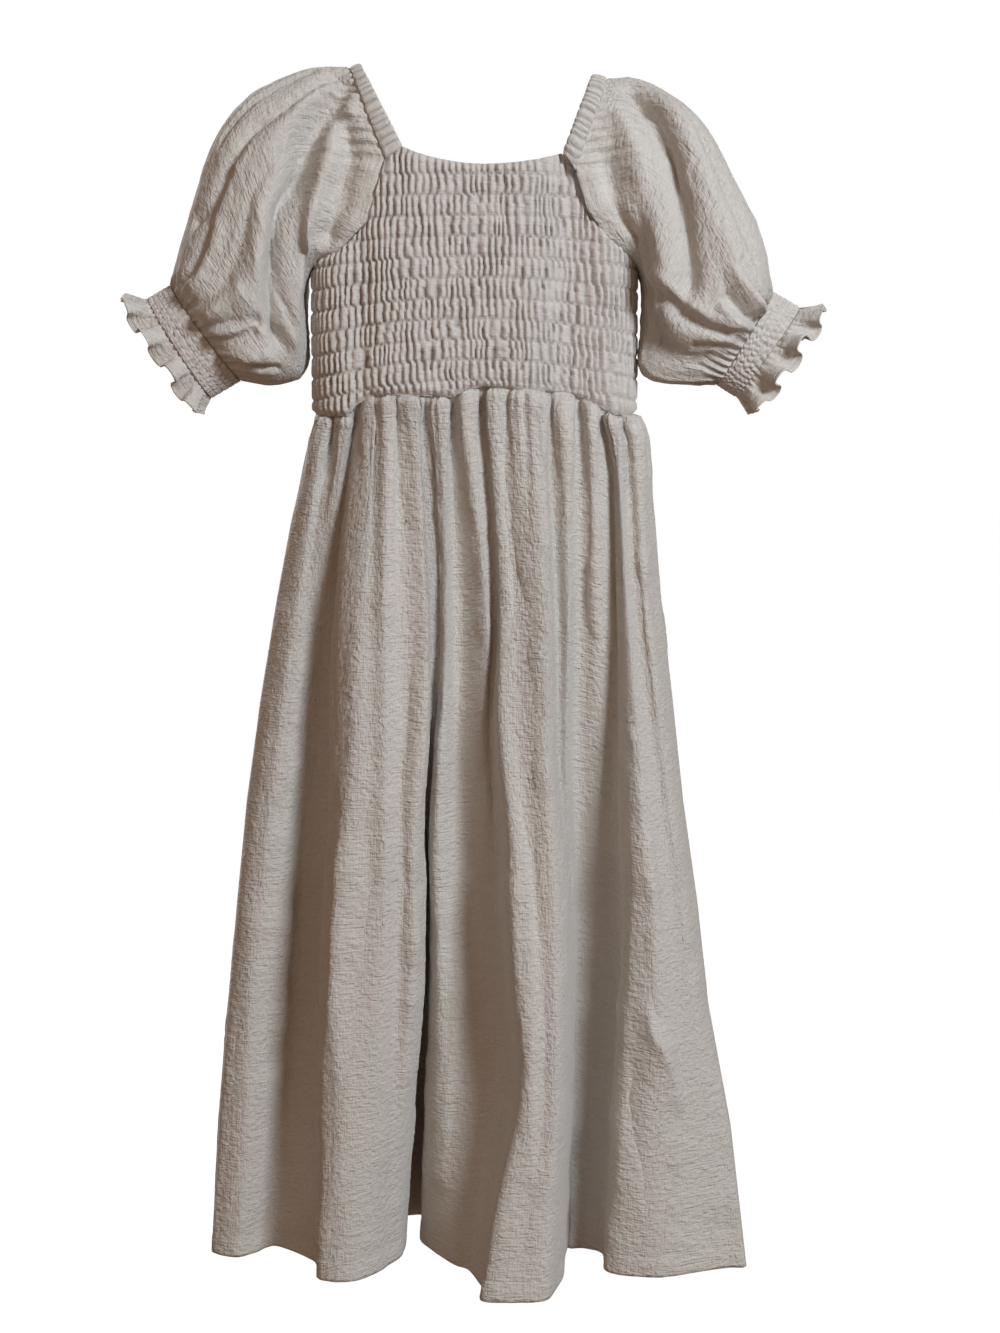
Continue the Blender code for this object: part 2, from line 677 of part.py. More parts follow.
def sleeve_rings(rows, folds, side):
    """Outer points of a sleeve: its large folds, and small gathers that grow towards the cuff."""
    rings = [armhole_ring(side)] + [ring_points(row, side) for row in rows]
    steps = np.array(SLEEVE_STEPS)
    surface = smooth_curve(steps, range(len(rings)), np.stack(rings))
    place = np.arange(RING_POINTS)
    fade = np.clip(steps / FOLD_FADE_STEPS, 0, 1) * np.clip(steps[-1] - steps, 0, 1)
    lift = fade[:, None] * fold_lift(steps, place / RING_POINTS, folds)
    surface = surface + lift[..., None] * grid_normals(surface, closed=True)
    growth = np.clip((steps - SLEEVE_GATHER_START) / (steps[-1] - SLEEVE_GATHER_START), 0, 1)
    growth[-1] = 0
    gather = SLEEVE_GATHER * growth[:, None] * np.cos(math.pi * place)
    return surface + gather[..., None] * grid_normals(surface, closed=True)


def between_rings(first, last, shares):
    shares = np.asarray(shares)[:, None]
    return np.array(first) * (1 - shares) + np.array(last) * shares


def cuff_rings(first, last, side):
    shares = np.linspace(0, 1, len(CUFF_RELIEF))
    rows = between_rings(first, last, shares)
    return np.stack([ring_points(row, side, relief) for row, relief in zip(rows, CUFF_RELIEF)])


def ruffle_rings(first, last, side):
    shares = np.linspace(0, 1, RUFFLE_ROWS + 1)
    rows = between_rings(first, last, shares)
    heights = RUFFLE_WAVE_HEIGHT * shares
    return np.stack([
        ring_points(row, side, height, RUFFLE_WAVES, RUFFLE_POINTS)
        for row, height in zip(rows, heights)
    ])


def seam_apart(rings, at_start, at_end):
    """Draws the ends of a tube back from its neighbours by half a seam gap each."""
    rings = rings.copy()
    if at_start:
        rings[0] += SEAM_GAP / 2 * unit(rings[1] - rings[0])
    if at_end:
        rings[-1] += SEAM_GAP / 2 * unit(rings[-2] - rings[-1])
    return rings


def sleeve_with_cuff(collection, word, side, rows, folds, cuff_end, ruffle_edge):
    sleeve = sleeve_rings(rows, folds, side)
    cuff = cuff_rings(rows[-1], cuff_end, side)
    ruffle = ruffle_rings(cuff_end, ruffle_edge, side)
    tube_piece(collection, "sleeve_" + word, seam_apart(sleeve, False, True), (-1,), CREAM)
    tube_piece(collection, "cuff_" + word, seam_apart(cuff, True, True), (0, -1), PALE_CREAM)
    tube_piece(collection, "ruffle_" + word, seam_apart(ruffle, True, False), (0,), CREAM)


def main():
    clear_scene()
    collection = bpy.data.collections.new("peasant_dress")
    bpy.context.scene.collection.children.link(collection)
    bodice_panel(collection, "bodice_front", -1, PALE_CREAM)
    bodice_panel(collection, "bodice_back", 1, PALE_CREAM)
    skirt_panels(collection)
    neck_casing(collection, "neck_casing_left", LEFT_CASING_INNER, LEFT_CASING_OUTER, LEFT)
    neck_casing(collection, "neck_casing_right", RIGHT_CASING_INNER, RIGHT_CASING_OUTER, RIGHT)
    left = (LEFT_SLEEVE_RINGS, LEFT_SLEEVE_FOLDS, LEFT_CUFF_END, LEFT_RUFFLE_EDGE)
    sleeve_with_cuff(collection, "left", LEFT, *left)
    right = (RIGHT_SLEEVE_RINGS, RIGHT_SLEEVE_FOLDS, RIGHT_CUFF_END, RIGHT_RUFFLE_EDGE)
    sleeve_with_cuff(collection, "right", RIGHT, *right)


main()
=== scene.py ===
"""A child's peasant dress in slubby cream cotton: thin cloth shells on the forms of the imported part.

Metres, +Z up, the front faces -Y and +X is the viewer's right. Tables of places on the dress are in
millimetres, and "out" in them is the distance towards the viewer, along -Y.
"""

import math
from types import SimpleNamespace

import bpy
import numpy as np
from mathutils import Matrix, Vector


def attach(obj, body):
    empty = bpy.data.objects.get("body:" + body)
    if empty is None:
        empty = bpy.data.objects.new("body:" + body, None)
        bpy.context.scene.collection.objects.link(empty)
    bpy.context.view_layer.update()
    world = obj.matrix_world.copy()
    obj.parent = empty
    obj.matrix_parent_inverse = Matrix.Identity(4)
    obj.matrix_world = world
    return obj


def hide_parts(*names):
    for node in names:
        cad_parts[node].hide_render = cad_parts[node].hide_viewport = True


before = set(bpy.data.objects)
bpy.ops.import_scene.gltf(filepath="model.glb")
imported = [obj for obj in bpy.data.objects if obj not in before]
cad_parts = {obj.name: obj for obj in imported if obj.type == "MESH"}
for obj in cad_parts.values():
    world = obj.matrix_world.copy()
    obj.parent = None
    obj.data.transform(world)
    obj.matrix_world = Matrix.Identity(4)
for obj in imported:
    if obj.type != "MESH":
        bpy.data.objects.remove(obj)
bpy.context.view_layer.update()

BODY = "root"
MM = 0.001
CLOTH = 0.0009
SEAM_GAP = 0.0003
HEM_Z = -0.926

BODICE_CENTRE_X = -0.001
BODICE_HALF_WIDTH = 0.1200
BODICE_NECK_DEPTH = 0.038
BODICE_WAIST_DEPTH = 0.048
BODICE_NECK_Z = -0.060
BODICE_WAIST_Z = -0.250
SECTION_POWER = 2.5
SECTION_SAMPLES = 4001
SEAM_SHARE = 1 - 1e-6

SHIRR_FIRST_Z = -0.0505
SHIRR_PITCH = 0.0150
PUCKER_PITCH = 0.0053
PUCKER_HEIGHT = 0.0038
PUCKER_POWER = 0.90
VALLEY_DEPTH = 0.75
VALLEY_SPREAD = 0.45
# Painted shade between puckers: the colour there is darkened by up to this strength, following how deep
# the place lies raised to this power.
PAINTED_SHADE_POWER = 1.5
PAINTED_SHADE_STRENGTH = 0.50
STITCH_WIDTH_SHARE = 0.09
STITCH_PINCH = 0.30
STITCH_DENT = 0.09
BAND_TURN = 0.22
BAND_STAGGER = 0.5
# How far puckers stray along a row. Columns: amount and size in puckers, step of the seed.
PUCKER_DRIFT = ((0.80, 3.2, 0), (0.16, 1.2, 3))
PUCKER_LEAN = 0.45
PUCKER_LEAN_SIZE = 4
PUCKER_WOBBLE = 0.08
PUCKER_WOBBLE_SIZE = (1.3, 0.3)
# Steps over the noise from one band or pucker to the next, so that each differs from its neighbour.
BAND_STEP = 7.3
LEAN_STEP = 5.1
VALLEY_STEPS = (3.1, 1.7)
PUCKER_CELLS = 8
PUCKER_SIDE_FADE = 0.006
EDGE_REACH = 0.004
EDGE_HEIGHT_SHARE = 0.35
SEAM_HEIGHT = 0.0004
BODICE_ROW = 0.0015
BODICE_CRINKLE = 0.35
# Columns: side of the body that it lies on along y, seed.
BODICE_PANELS = {"bodice_front": (-1, 100), "bodice_back": (1, 140)}
INNER_ROWS = 40
SNAP = 0.0006
DROOP_FROM_Z = -0.060
WAIST_CENTRE_Z = -0.240
WAIST_DROOP = 0.017

# The upper edge of the bodice, from underarm to underarm over the raglans and the neckline.
# Columns: x, z.
UPPER_EDGE = (
    (-121, -142),
    (-101, -136),
    (-89, -124),
    (-80, -115),
    (-74, -95),
    (-66, -70),
    (-53, -61),
    (-44, -64.8),
    (-34, -68),
    (-20, -71),
    (-7, -72.9),
    (6, -73.6),
    (20, -73.2),
    (33, -72),
    (46, -70),
    (57, -67.2),
    (65, -65),
    (74, -78),
    (83, -107),
    (99, -127),
    (119, -142),
)

# The seam where the gathers of the skirt meet the bodice. Columns: x, z.
WAIST_LINE = (
    (-121, -257),
    (-96, -257),
    (-89, -249),
    (-78, -242),
    (-55, -241),
    (-33, -242),
    (-16, -243),
    (-6, -237.5),
    (4, -235.5),
    (26, -236.5),
    (52, -239),
    (74, -241),
    (92, -249),
    (102, -257),
    (119, -257),
)

# Soft hollows of the bodice as it hangs. Columns: x, width, lift.
BODICE_HOLLOWS = (
    (-84, 9, -3.5),
    (-45, 18, 1.5),
    (34, 22, 1.5),
    (72, 17, -9.0),
    (101, 9, 2.0),
)

# Heights of the waist, hip, knee and hem stations of the skirt.
STATION_Z = (-264, -396, -632, -926)

# One row for each fold line of the front skirt, from the left side seam to the right one.
# Columns: line, waist x, waist out, hip x, hip out, knee x, knee out, hem x, hem out.
FRONT_FOLDS = (
    ("left side seam", -122, 0, -153, 2, -186, 3, -211, 12),
    ("left lobe crest", -112, 22, -137, 20, -168, 20, -189, 21),
    ("left lobe fall", -107, 18, -130, 18, -155, 15, -179, 13),
    ("left trough", -99, 28, -121, 15, -140, 0, -165, 0),
    ("second lobe foot", -92, 26, -107, 16, -114, 8, -131, 26),
    ("second lobe brink", -86, 32, -101, 45, -107, 51, -119, 65),
    ("second lobe crest", -77, 40, -89, 54, -99, 61, -107, 68),
    ("second lobe dip", -73, 38, -76, 55, -80, 61, -91, 63),
    ("second lobe second crest", -64, 44, -67, 58, -68, 62, -80, 51),
    ("second lobe second dip", -57, 42, -53, 49, -57, 50, -70, 34),
    ("second lobe right", -47, 46, -38, 53, -47, 52, -62, 20),
    ("second lobe right brink", -42, 44, -34, 48, -39, 38, -57, 0),
    ("deep gap left", -39, 40, -31, 36, -38.5, 2, -55, -62),
    ("deep gap right", -36, 40, -29, 36, -37, 0, -49, -63),
    ("narrow fold foot", -31, 44, -27, 39, -35.5, 20, -45, -8),
    ("narrow fold crest", -23, 48, -21, 43, -29, 34, -34, 14),
    ("centre trough", -17, 40, -11, 26, -8, 20, -17, 38),
    ("centre small ridge", -8, 48, 6, 42, 5, 26, -7, 46),
    ("centre lobe foot", 6, 40, 14, 36, 15, 34, 3, 74),
    ("centre lobe crest", 14, 48, 21, 51, 29, 80, 12, 103),
    ("centre lobe dip", 24, 45, 32, 51, 42, 76, 32, 103),
    ("centre lobe second crest", 35, 50, 48, 58, 60, 80, 53, 99),
    ("centre lobe brink", 50, 50, 57, 57, 68, 66, 64, 73),
    ("tucked valley", 55, 43, 62, 42, 72, 44, 70, 36),
    ("tucked ridge", 67, 48, 71, 47, 76, 30, 73, 2),
    ("recess valley", 77, 38, 80, 27, 81, 4, 77, 4),
    ("recess ridge", 84, 44, 90, 33, 94, 6, 86, 4),
    ("recess right", 94, 34, 103, 28, 107, 8, 99, 10),
    ("right lobe brink", 98, 38, 106, 35, 111, 42, 103, 48),
    ("right lobe crest", 101, 40, 113, 44, 131, 58, 128, 58),
    ("right lobe dip", 107, 26, 121, 35, 151, 44, 153, 57),
    ("right lobe second crest", 113, 28, 128, 36, 159, 40, 180, 47),
    ("right lobe fall", 118, 16, 135, 24, 166, 28, 200, 40),
    ("right side seam", 120, 0, 142, 2, 173, 6, 214, 36),
)

# One row for each fold line of the back skirt, from right to left. A lift stands out from the panel.
# Columns: waist x, hem x, lift at the hem.
BACK_FOLDS = (
    (112, 204, -4),
    (101, 192, 8),
    (91, 178, 6),
    (80, 160, -10),
    (70, 140, 11),
    (60, 120, 8),
    (50, 102, -12),
    (39, 84, -6),
    (29, 66, 13),
    (19, 46, 7),
    (9, 26, -13),
    (-1, 8, -8),
    (-11, -10, 12),
    (-21, -28, 9),
    (-31, -48, 3),
    (-41, -62, 2),
    (-50, -86, 13),
    (-60, -104, 9),
    (-70, -122, -12),
    (-79, -141, -9),
    (-90, -158, 12),
    (-101, -176, 10),
    (-112, -196, -6),
)

# The side outline of the skirt as hung. Columns: z, left x, right x.
SIDE_PROFILE = (
    (-264, -122, 126),
    (-276, -127, 131),
    (-338, -142, 138),
    (-398, -154, 143),
    (-478, -168, 153),
    (-557, -180, 162),
    (-638, -189, 174),
    (-718, -197, 183),
    (-814, -206, 201),
    (-926, -213, 214),
)
SIDE_PULL_POWER = 4
BACK_DEPTHS = (46, 58, 70, 78)
BACK_LIFT_SHARES = (0.25, 0.55, 0.85, 1.0)
BACK_SPREAD_SHARES = (0.0, 0.30, 0.66, 1.0)
SKIRT_COLUMNS = 290
SKIRT_ROWS = 268
SKIRT_ROW_SPREAD = 1.12
PUFF_DROP = 0.011
WAIST_EASE = 0.0004
WAIST_FIT_REACH = 0.020
GATHER_HEIGHT = 0.0060
GATHER_RISE = 0.0016
GATHER_REACH = 0.035
SHOULDER_RISE = 0.0032
SHOULDER_DROP = 0.0030
SHOULDER_REACH = 0.0022
SMALL_GATHER_PITCH = 0.009
SMALL_GATHER_HEIGHT = 0.0010
SMALL_GATHER_REACH = 0.040
SMALL_GATHER_DRIFT = 0.9
SMALL_GATHER_DRIFT_SIZE = 0.02
SMALL_GATHER_SEED = 11
SEAM_FADE = 0.003
DRAPE_FADE = 0.05
# Soft unevenness of the hanging skirt. Columns: size across, size down, height, seed.
SKIRT_DRAPE = ((0.020, 0.12, 0.0016, 12), (0.030, 0.022, 0.0010, 14))
SKIRT_CRINKLE_SEED = 21
SIDE_FADE_COLUMNS = 4
CREASE_POWER = 1.1

# Where the folds of the front skirt swing sideways. Columns: x, z, reach across, reach down, shift.
SKIRT_SWAYS = (
    (-98, -680, 26, 90, -8),
    (22, -770, 30, 80, 15),
    (14, -490, 30, 60, -6),
    (64, -520, 22, 70, -4),
    (116, -700, 26, 90, 6),
    (-40, -560, 20, 70, -4),
    (150, -760, 24, 60, 5),
)

# Where the cloth is drawn in between two gathers at the waist of the front, from left to right.
# Columns: x, share of the full depth.
GATHER_VALLEYS = (
    (-121, 0.5),
    (-106, 0.3),
    (-88, 1.0),
    (-75, 0.22),
    (-58, 0.22),
    (-38, 0.28),
    (-17, 0.8),
    (6, 1.0),
    (24, 0.35),
    (36, 0.2),
    (56, 0.4),
    (77, 1.0),
    (94, 0.6),
    (106, 0.7),
    (120, 0.6),
)

# Creases and small ridges of the front skirt. Columns: width, and a line of points, each an x, a z and
# a height there (a crease is negative).
SKIRT_CREASES = (
    (4, ((-106, -250, -3), (-110, -300, -3), (-118, -345, 0))),
    (3, ((-88, -245, -9), (-92, -300, -9), (-98, -345, -8), (-104, -420, -4), (-108, -520, 0))),
    (3, ((-75, -240, -3), (-80, -300, -3), (-86, -345, -1.5), (-90, -430, 0))),
    (3, ((-58, -240, -2), (-60, -300, -2), (-56, -345, -3), (-53, -410, -4), (-53, -480, -3),
         (-56, -560, 0))),
    (3, ((-38, -240, -2.5), (-37, -300, -3), (-35, -345, -4), (-31, -420, -4), (-34, -520, 0))),
    (3, ((-17, -240, -7), (-16, -300, -8), (-14, -345, -9), (-8, -420, -8), (-4, -500, 0))),
    (3, ((6, -236, -9), (6, -300, -7), (9, -345, -7), (16, -410, -7), (17, -490, -4), (20, -570, 0))),
    (3, ((24, -236, -3), (22, -300, -4), (26, -345, -4), (34, -410, -5), (37, -490, -4), (41, -570, -3),
         (48, -640, -3), (51, -720, 0))),
    (3, ((36, -238, -3), (39, -300, -4), (41, -345, 0))),
    (3, ((56, -240, -4), (57, -300, -6), (61, -345, -8), (61, -410, -8), (62, -490, -6), (66, -570, 0))),
    (3, ((77, -240, -9), (79, -300, -9), (81, -345, -9), (80, -410, -7), (82, -490, 0))),
    (3.5, ((94, -250, -4), (96, -300, -5), (99, -345, -5), (99, -410, -4), (101, -490, 0))),
    (3.5, ((106, -255, -4), (107, -300, -4), (112, -345, -4), (117, -410, -5), (123, -490, -5),
         (140, -570, -5), (151, -650, -4), (160, -720, 0))),
    (3, ((116, -330, 0), (124, -400, -2.5), (131, -480, -3), (143, -560, 0))),
    (10, ((86, -410, 0), (89, -470, -9), (92, -540, -11), (96, -600, -6), (97, -660, 0))),
    (4, ((138, -470, 0), (141, -520, -3), (150, -620, -5), (163, -720, -5), (172, -780, 0))),
    (7, ((-150, -420, 0), (-158, -500, -2), (-170, -600, -2), (-175, -700, 0))),
    (4, ((-56, -540, 0), (-55, -600, -3), (-60, -660, -2), (-62, -720, 0))),
    (5, ((-48, -600, 0), (-47, -660, 3), (-55, -740, 3), (-62, -820, 2), (-66, -900, 0))),
    (8, ((-100, -500, 0), (-104, -600, 3), (-110, -680, 4), (-116, -760, 4), (-122, -840, 3),
         (-125, -915, 1))),
    (6, ((-82, -560, 0), (-78, -640, -3), (-80, -720, -3), (-86, -800, -4), (-95, -880, -3),
         (-100, -920, 0))),
    (6, ((33, -560, 0), (40, -640, 4), (42, -720, 4), (42, -800, 3), (44, -880, 0))),
    (6, ((15, -640, 0), (24, -700, -3), (24, -780, -4), (14, -850, -3), (12, -910, 0))),
    (5, ((60, -560, 0), (58, -660, -4), (56, -760, -4), (50, -840, 0))),
    (7, ((118, -520, 0), (121, -600, 3), (120, -700, 4), (114, -800, 3), (112, -900, 0))),
    (6, ((126, -600, 0), (134, -660, -4), (140, -700, -4), (143, -730, 0))),
    (6, ((142, -650, 0), (150, -690, -6), (160, -730, -8), (172, -790, -6), (178, -830, 0))),
    (6, ((130, -700, 0), (138, -730, 6), (150, -760, 6), (160, -800, 0))),
    (6, ((120, -740, 0), (124, -780, -6), (132, -830, -5), (142, -880, 0))),
    (7, ((150, -800, 0), (140, -850, -4), (138, -910, -3))),
    (6, ((-10, -640, 0), (-12, -700, 3), (-22, -780, 3), (-26, -860, 2), (-22, -910, 0))),
    (7, ((-140, -560, 0), (-148, -640, 3), (-156, -740, 3), (-162, -840, 0))),
    (9, ((-186, -700, 0), (-190, -780, -3), (-196, -860, -3), (-200, -920, 0))),
)
HEM_WIDTH = 0.015
HEM_LIFT = 0.0004
HEM_DENT = 0.0006
HEM_DENT_WIDTH = 0.0025
HEM_EDGE = 0.0015
HEM_PULL = 0.0003
HEM_PULL_SIZE = (0.007, 0.02)
HEM_PULL_REACH = 0.03
HEM_PULL_SEED = 13
STITCH_RISE = 0.0142
STITCH_PITCH = 0.0032
STITCH_LENGTH = 0.0023
STITCH_THICKNESS = 0.00035
STITCH_STEPS = (-0.5, -0.35, 0.35, 0.5)
STITCH_FULLNESS = (0.35, 1.0, 1.0, 0.35)

SLEEVE_POINTS = 288
SLEEVE_FULLNESS = 0.85
SLEEVE_ROWS = 140
CASING_HALF_SHARE = 7 / 16
CASING_OVERLAP = -0.0015
RAGLAN_GAP = 0.0002
UNDERARM_CLEARANCE = 0.0008
RAGLAN_LIFT = 0.0004
GATHER_DRIFT_SIZE = 2.0
CUFF_GATHER_DRIFT = 0.7
CASING_GATHER_DRIFT = 0.5
CASING_GATHER_START = 0.05
CASING_GATHER_MARGIN = 0.06
CASING_GATHER_FADE = 0.08
SLEEVE_SEAM_FADE = 0.12
# Columns: size across, size down, height.
SLEEVE_DRAPE = (0.016, 0.055, 0.0011)
CUFF_GATHERS = 34
CUFF_GATHER_HEIGHT = 0.0021
CUFF_GATHER_STEPS = 1.3
CASING_GATHERS = 26
CASING_GATHER_HEIGHT = 0.0019
CASING_GATHER_STEPS = 0.5

# Large folds of the sleeves. Columns: height (a trough is negative), width as a share of the way
# round, and a line of points, each a step along the sleeve and a share of the way round.
LEFT_SLEEVE_FOLDS = (
    (-15, 0.027, ((0.2, 0.095), (0.62, 0.145), (0.9, 0.19), (1.25, 0.26), (1.9, 0.288), (2.6, 0.300),
                  (3.2, 0.310), (3.7, 0.34))),
    (10, 0.018, ((0.2, 0.125), (0.6, 0.188), (0.7, 0.24), (0.82, 0.3), (0.95, 0.35))),
    (5, 0.026, ((1.0, 0.335), (1.6, 0.365), (2.4, 0.38), (3.3, 0.385))),
    (-11, 0.016, ((0.42, 0.17), (0.42, 0.225), (0.42, 0.28), (0.38, 0.33))),
    (6, 0.042, ((0.6, 0.115), (1.33, 0.163), (1.9, 0.198), (2.65, 0.236), (3.3, 0.255), (3.9, 0.265))),
    (-6, 0.012, ((0.05, 0.044), (1.28, 0.128), (2.05, 0.132), (2.55, 0.139), (3.53, 0.13), (4.08, 0.08))),
    (4, 0.022, ((0.1, 0.065), (0.9, 0.135), (1.6, 0.165), (2.6, 0.150))),
    (-4, 0.014, ((0.2, 0.103), (0.6, 0.144), (0.85, 0.181), (1.0, 0.241), (1.35, 0.269), (2.15, 0.263))),
    (-5, 0.018, ((2.27, 0.292), (2.43, 0.312), (2.85, 0.337), (3.08, 0.382))),
    (4, 0.020, ((2.6, 0.250), (3.2, 0.270), (3.5, 0.320), (3.5, 0.380))),
    (-5, 0.012, ((5.8, 0.24), (4.98, 0.257), (4.03, 0.302))),
    (-5, 0.012, ((5.8, 0.28), (5.1, 0.295), (4.33, 0.309))),
    (4, 0.013, ((5.7, 0.26), (4.9, 0.275), (4.3, 0.29))),
    (-4, 0.012, ((5.8, 0.18), (4.9, 0.20), (4.1, 0.22))),
    (4, 0.014, ((5.8, 0.21), (4.8, 0.23), (4.0, 0.25))),
    (-3, 0.010, ((5.6, 0.10), (4.8, 0.13), (3.9, 0.14))),
    (3, 0.012, ((5.6, 0.13), (4.7, 0.16), (3.7, 0.17))),
    (-4, 0.012, ((5.8, 0.35), (5.0, 0.37), (4.4, 0.40))),
    (5, 0.020, ((5.7, 0.32), (5.0, 0.34), (4.4, 0.36))),
    (-3, 0.012, ((3.9, 0.22), (3.3, 0.225), (2.6, 0.21), (2.0, 0.205))),
    (-3, 0.010, ((1.0, 0.05), (1.9, 0.07), (2.8, 0.075))),
)
RIGHT_SLEEVE_FOLDS = (
    (-11, 0.030, ((0.8, 0.085), (1.1, 0.149), (1.5, 0.186), (1.85, 0.218), (2.45, 0.235), (3.1, 0.262))),
    (7, 0.034, ((0.18, 0.111), (0.62, 0.165), (0.85, 0.215), (1.05, 0.26), (1.6, 0.285), (2.3, 0.3))),
    (5, 0.040, ((0.8, 0.3), (1.2, 0.34), (1.9, 0.37))),
    (-4, 0.014, ((0.15, 0.095), (0.6, 0.122), (1.2, 0.115))),
    (-6, 0.020, ((0.2, 0.128), (0.40, 0.174), (0.50, 0.21), (0.50, 0.24))),
    (6, 0.034, ((1.53, 0.083), (1.98, 0.132), (2.5, 0.153), (3.18, 0.16), (4.2, 0.174), (5.4, 0.174))),
    (-11, 0.050, ((1.9, 0.42), (3.0, 0.39), (4.4, 0.375), (5.4, 0.365))),
    (-5, 0.011, ((0.1, 0.185), (0.36, 0.213), (0.4, 0.253), (0.45, 0.3), (0.7, 0.345))),
    (-3, 0.012, ((0.8, 0.078), (1.4, 0.147), (1.75, 0.190), (2.3, 0.205))),
    (4, 0.013, ((2.05, 0.325), (2.9, 0.294), (4.0, 0.272), (4.85, 0.254))),
    (-6, 0.014, ((1.3, 0.41), (2.38, 0.333), (3.68, 0.295), (4.93, 0.267))),
    (-3, 0.012, ((1.5, 0.05), (2.2, 0.09), (3.0, 0.11), (4.2, 0.12))),
    (-4, 0.011, ((5.8, 0.13), (4.8, 0.155), (3.9, 0.16))),
    (4, 0.012, ((5.8, 0.16), (4.7, 0.18), (3.8, 0.19))),
    (-5, 0.012, ((5.8, 0.20), (4.9, 0.215), (4.1, 0.22))),
    (4, 0.012, ((5.8, 0.23), (4.8, 0.237), (4.2, 0.24))),
    (-4, 0.012, ((5.8, 0.30), (5.0, 0.31), (4.3, 0.33))),
    (2, 0.008, ((1.4, 0.455), (3.2, 0.455), (5.6, 0.435))),
    (-3, 0.008, ((1.4, 0.472), (3.2, 0.472), (5.6, 0.452))),
)
FOLD_STEP_LENGTH = 0.1
FOLD_FADE_STEPS = 0.5
FOLD_SAMPLES = 24

CUFF_ROWS = 5
CUFF_PUCKERS = 46
CUFF_PUCKER_HEIGHT = 0.0017
# Share of the painted shade that the hollows between the cuff's puckers get.
CUFF_PAINTED_SHADE = 0.5
CUFF_LIFT = 0.0002
CUFF_POINTS = 368
CUFF_CELLS = 40
RUFFLE_POINTS = 300
RUFFLE_CELLS = 26
RUFFLE_GATHERS = 46
RUFFLE_GATHER_HEIGHT = 0.0009
RUFFLE_GATHER_REACH = 0.22
RUFFLE_GATHER_START = 0.06
RUFFLE_CRINKLE = 0.8

# Waves of the ruffles at their edge, once round from the outer end. Columns: share of the way round,
# lift out of the ring, and lift along the arm.
RUFFLE_WAVES = (
    (0.00, 4, -3),
    (0.045, 1, 0),
    (0.10, 7, 0),
    (0.15, -7, 1),
    (0.20, 8, -1),
    (0.25, -8, 0),
    (0.30, 8, -3),
    (0.35, -7, 1),
    (0.40, 8, 0),
    (0.455, -1, -1),
    (0.50, 4, -4),
    (0.545, -1, -1),
    (0.60, 8, -1),
    (0.65, -7, 1),
    (0.70, 8, -2),
    (0.75, -8, 1),
    (0.80, 8, -3),
    (0.85, -7, 1),
    (0.90, 7, 0),
    (0.955, 1, 0),
)
RUFFLE_LOBES = 10
RUFFLE_SWING = 0.0028
RUFFLE_END = 0.055

CASING_RUCHES = 30
CASING_CELLS = 10
CASING_SIDES = 20
CASING_THICKNESS = 0.0019
CASING_SQUARENESS = 0.6
NECK_EDGE_SWELL = 0.5
RUCHE_DRIFT = 0.5
RUCHE_DRIFT_SIZE = 2.2
RUCHE_WOBBLE = 0.12
RUCHE_WOBBLE_SIZE = 0.5
RUCHE_POWER = 0.8
RUCHE_SPREAD = 0.25
RUCHE_STEP = 2.3

# Added to a side's seed, so that its pieces differ from each other.
CUFF_SEED = 20
RUFFLE_SEED = 30
CASING_SEED = 40

LEFT = -1
RIGHT = 1
# What differs between the two sides. raglan_top is the row of UPPER_EDGE where the raglan starts.
# rings are sections of the sleeve from the armhole to the cuff. Columns of a section: outer end x,
# outer end z, inner end x, inner end z, half depth, shift forward.
# The casing's edges give shoulder top x and z, front neck corner x and z.
SIDES = {
    "left": SimpleNamespace(
        sign=LEFT,
        raglan_top=5,
        rings=(
            (-122, -1, -128.5, -164, 35, 0),
            (-167, -20, -127.5, -189, 43, 0),
            (-195, -53, -127, -209, 47, 0),
            (-213, -103, -133, -229, 47, 0),
            (-225, -142, -155, -235, 45, 0),
            (-230, -161, -180, -230, 25, 1),
        ),
        cuff_end=(-247, -171, -202, -243, 22, 3),
        ruffle_edge=(-268, -170, -212, -258, 26, 5),
        folds=LEFT_SLEEVE_FOLDS,
        casing_inner=(-85, 1, -53, -61),
        casing_outer=(-93, -2, -66, -70),
        ruche_height=0.0009,
        seed=200,
    ),
    "right": SimpleNamespace(
        sign=RIGHT,
        raglan_top=17,
        rings=(
            (125, -10, 126, -164, 35, 0),
            (167, -38, 124, -197, 43, 5),
            (195, -83, 123.5, -220, 47, 8),
            (215, -123, 136, -232, 47, 8),
            (222, -152, 163, -235, 44, 7),
            (224, -166, 184, -233, 24, 4),
        ),
        cuff_end=(244, -178, 198, -242, 21, 8),
        ruffle_edge=(264, -178, 212, -257, 25, 14),
        folds=RIGHT_SLEEVE_FOLDS,
        casing_inner=(87, -8, 65, -65),
        casing_outer=(98, -10, 74, -78),
        ruche_height=0.0022,
        seed=300,
    ),
}

# Bubbles of the cloth. Columns: size across, size down, height.
CRINKLE_SIZES = (
    (0.0062, 0.0050, 0.00030),
    (0.0300, 0.0038, 0.00020),
    (0.0038, 0.0320, 0.00020),
    (0.0240, 0.0180, 0.00045),
)
STRETCH_SHARE = 0.35
WARP_STRETCH = 0.012
WEFT_STRETCH = 0.010
NOISE_LATTICE = 512

# Names in the meshes that the materials read.
CLOTH_MAP = "cloth"
# The point value that the cotton reads to paint shade into the hollows between puckers.
PAINTED_SHADE_VALUE = "painted_shade"

# The cottons. Columns: slot, colour, depth of the bubbles that the mesh is too coarse for.
COTTONS = (
    ("crinkle_cotton", (0.58, 0.552, 0.512), 0.0028),
    ("shirred_cotton", (0.60, 0.565, 0.53), 0.0016),
    ("casing_cotton", (0.59, 0.56, 0.52), 0.0018),
)
COTTON_FINISH = {
    "Roughness": 0.92,
    "Specular IOR Level": 0.25,
    "Sheen Weight": 0.25,
    "Sheen Roughness": 0.5,
}
